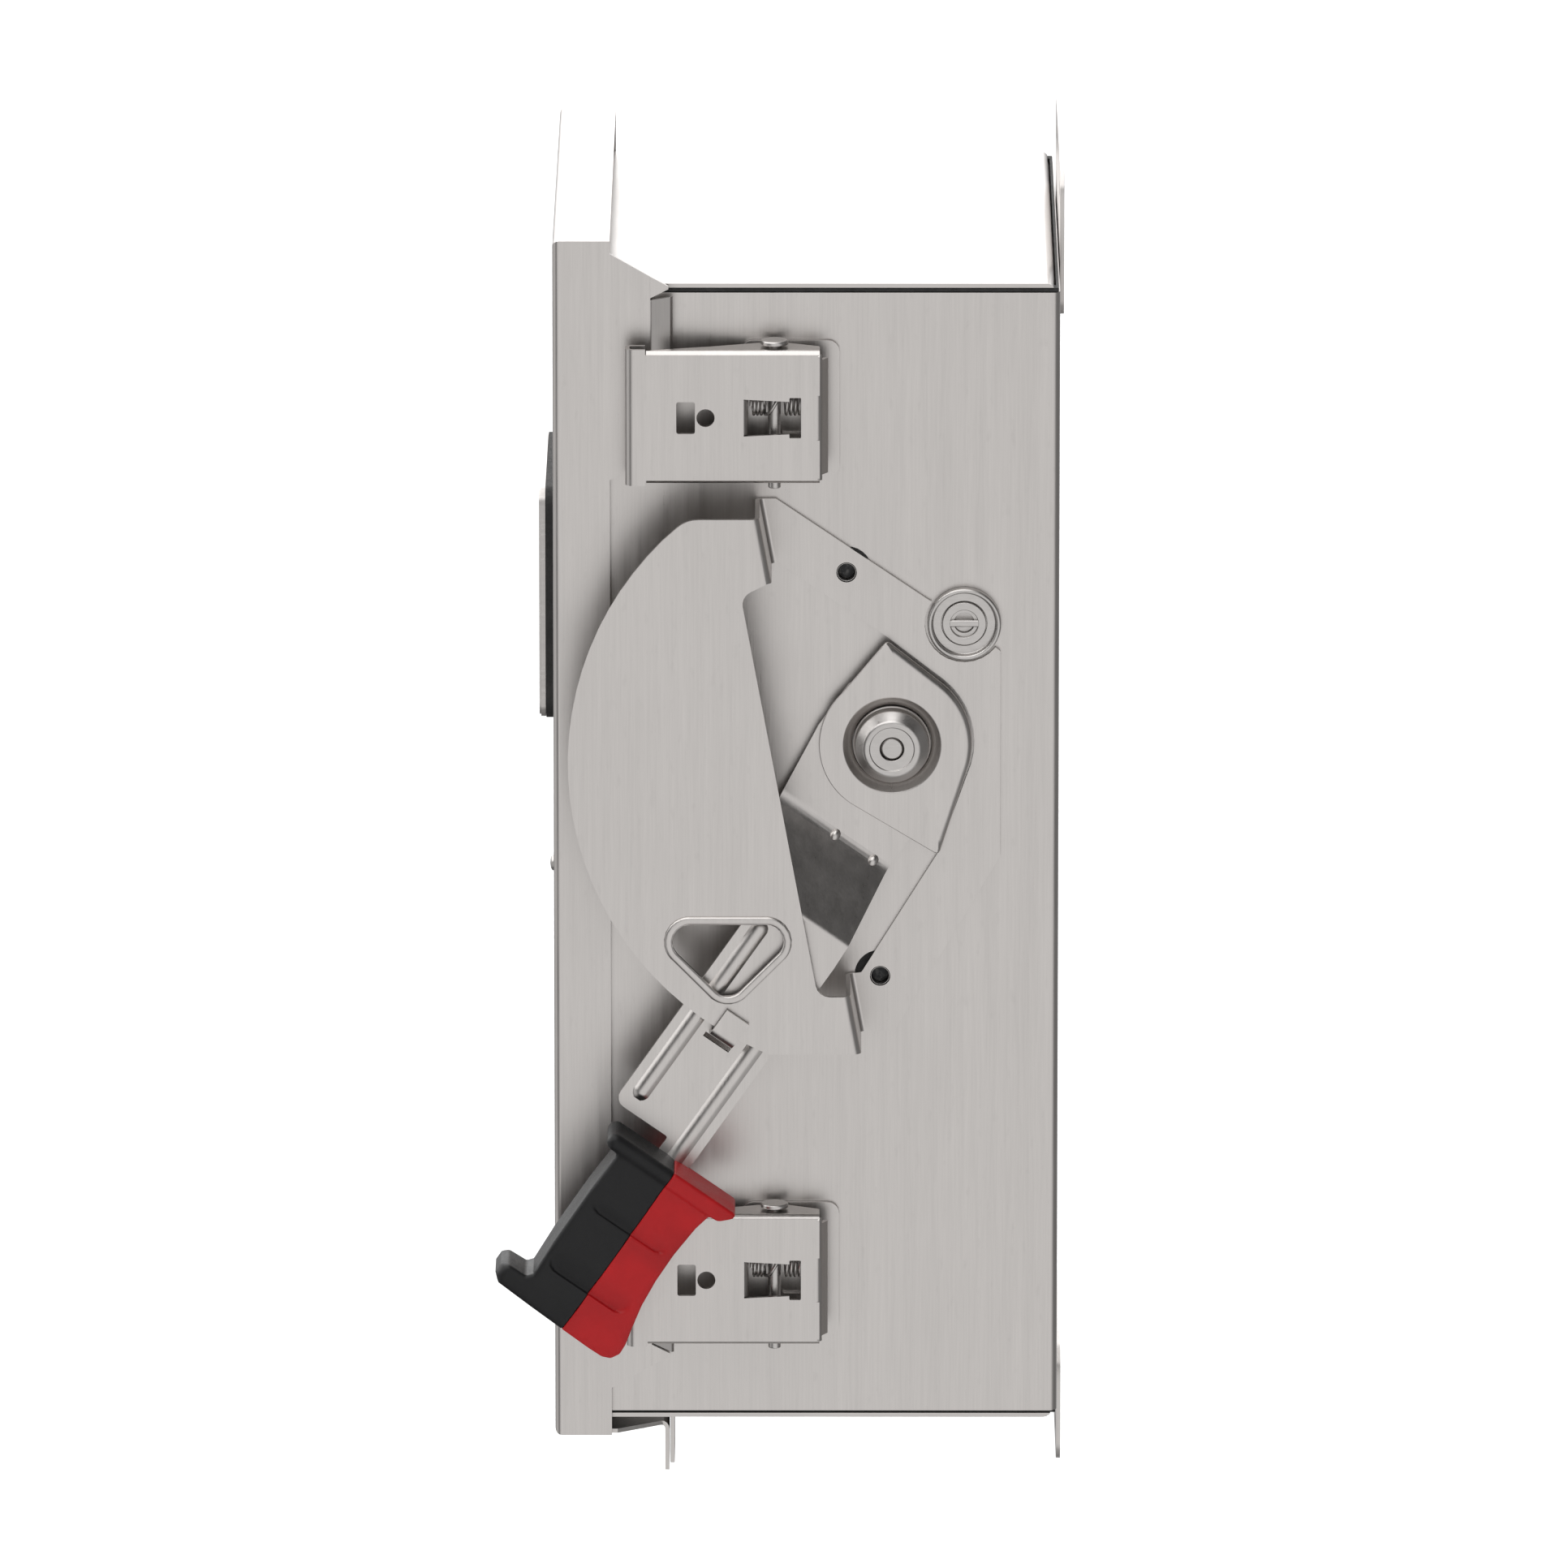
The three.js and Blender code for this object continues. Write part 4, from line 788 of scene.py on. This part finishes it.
def add_latch_springs():
    """Each latch's spring: two coils round the pin's sides, joined by a long half turn."""
    for which in WHICH:
        node = f"latch_spring_{which}"
        x, y, z = JOINTS[f"{which}_latch_swing"]["pos_m"]
        z += SPRING_ABOVE_PIN
        path = []
        for y0, y1, turn0, turn1 in SPRING_RUNS:
            count = max(int((turn1 - turn0) * 28), 8)
            for k in range(count):
                share = k / count
                angle = 2 * math.pi * (turn0 + (turn1 - turn0) * share)
                path.append(Vector((x + SPRING_RADIUS * math.cos(angle), y + (y0 + (y1 - y0) * share) * MM,
                                    z + SPRING_RADIUS * math.sin(angle))))
        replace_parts(tube(f"{node}_coil", node, path, SPRING_WIRE), node)


for node_name in NODES:
    finish_node(node_name)
add_grip("grip_black", False)
add_grip("grip_red", True)
add_rib("arm_rib_front", 76, 148, -3.3)
add_rib("arm_rib_rear", 96, 170, 20.1)
add_cam()
add_hub()
add_window_rim()
add_rivets()
add_interlock()
add_latch_pins()
add_latch_springs()


# ---------- stage ----------
FLOOR_HALF = 7
FLOOR_Z = -0.2


def add_floor():
    """A plain pale floor below the box, kept out of the steel's reflections."""
    mesh = bpy.data.meshes.new("floor")
    corners = [(a * FLOOR_HALF, b * FLOOR_HALF, FLOOR_Z) for a, b in ((-1, -1), (1, -1), (1, 1), (-1, 1))]
    mesh.from_pydata(corners, [], [(0, 1, 2, 3)])
    floor = bpy.data.objects.new("floor", mesh)
    bpy.context.collection.objects.link(floor)
    n = Nodes("floor")
    n.set(Base_Color=n.mix(n.remap(n.noise(3, 2), 0.0, 1.0), (0.86, 0.86, 0.86), (0.9, 0.9, 0.9)))
    n.set(Roughness=n.remap(n.noise(40, 2), 0.85, 0.95))
    mesh.materials.append(n.material)
    floor.visible_glossy = False


# The brightest part of the studio's tent: the way it lies and its strength.
ROOF_WAY = (-0.447, 0, 0.894)
ROOF_STRENGTH = 2.3
# Each softer glow: the way it lies, the cosines where it starts and is full, and its strength.
GLOWS = (
    ((0.955, 0.15, -0.25), 0.55, 0.93, 1.09),
    ((-0.95, 0.0, -0.3), 0.5, 0.95, 0.5),
    ((0.0, -0.97, -0.24), 0.7, 0.97, 0.75),
    ((0.0, 0.96, -0.25), 0.5, 0.98, 0.25),
    ((0.15, 0.3, -0.94), 0.7, 0.97, 0.55),
)


def add_studio():
    """A white tent above the horizon, open on its wall side, with softer glows below it."""
    world = bpy.data.worlds.new("studio")
    bpy.context.scene.world = world
    world.use_nodes = True
    tree = world.node_tree
    link = tree.links.new
    coordinates = tree.nodes.new("ShaderNodeTexCoord")
    way = coordinates.outputs["Generated"]
    split = tree.nodes.new("ShaderNodeSeparateXYZ")
    link(way, split.inputs["Vector"])

    def rise(value, start, end, low, high):
        node = tree.nodes.new("ShaderNodeMapRange")
        node.interpolation_type = "SMOOTHSTEP"
        for key, number in (("From Min", start), ("From Max", end), ("To Min", low), ("To Max", high)):
            node.inputs[key].default_value = number
        link(value, node.inputs["Value"])
        return node.outputs["Result"]

    def combine(operation, first, second):
        node = tree.nodes.new("ShaderNodeMath")
        node.operation = operation
        link(first, node.inputs[0])
        link(second, node.inputs[1])
        return node.outputs[0]

    def towards(axis):
        node = tree.nodes.new("ShaderNodeVectorMath")
        node.operation = "DOT_PRODUCT"
        link(way, node.inputs[0])
        node.inputs[1].default_value = axis
        return node.outputs["Value"]

    roof = rise(towards(ROOF_WAY), 0.03, 0.26, 0.04, ROOF_STRENGTH)
    above_horizon = rise(split.outputs["Z"], -0.06, 0.2, 0.02, 1.0)
    off_wall_side = rise(split.outputs["Y"], 0.05, 0.45, 1.0, 0.03)
    tent = combine("MULTIPLY", combine("MULTIPLY", roof, above_horizon), off_wall_side)
    for axis, start, end, strength in GLOWS:
        tent = combine("ADD", tent, rise(towards(axis), start, end, 0.0, strength))
    tree.nodes["Background"].inputs["Color"].default_value = (1, 1, 1, 1)
    link(tent, tree.nodes["Background"].inputs["Strength"])


add_camera()
add_floor()
add_studio()
bpy.context.scene.view_settings.view_transform = "Standard"
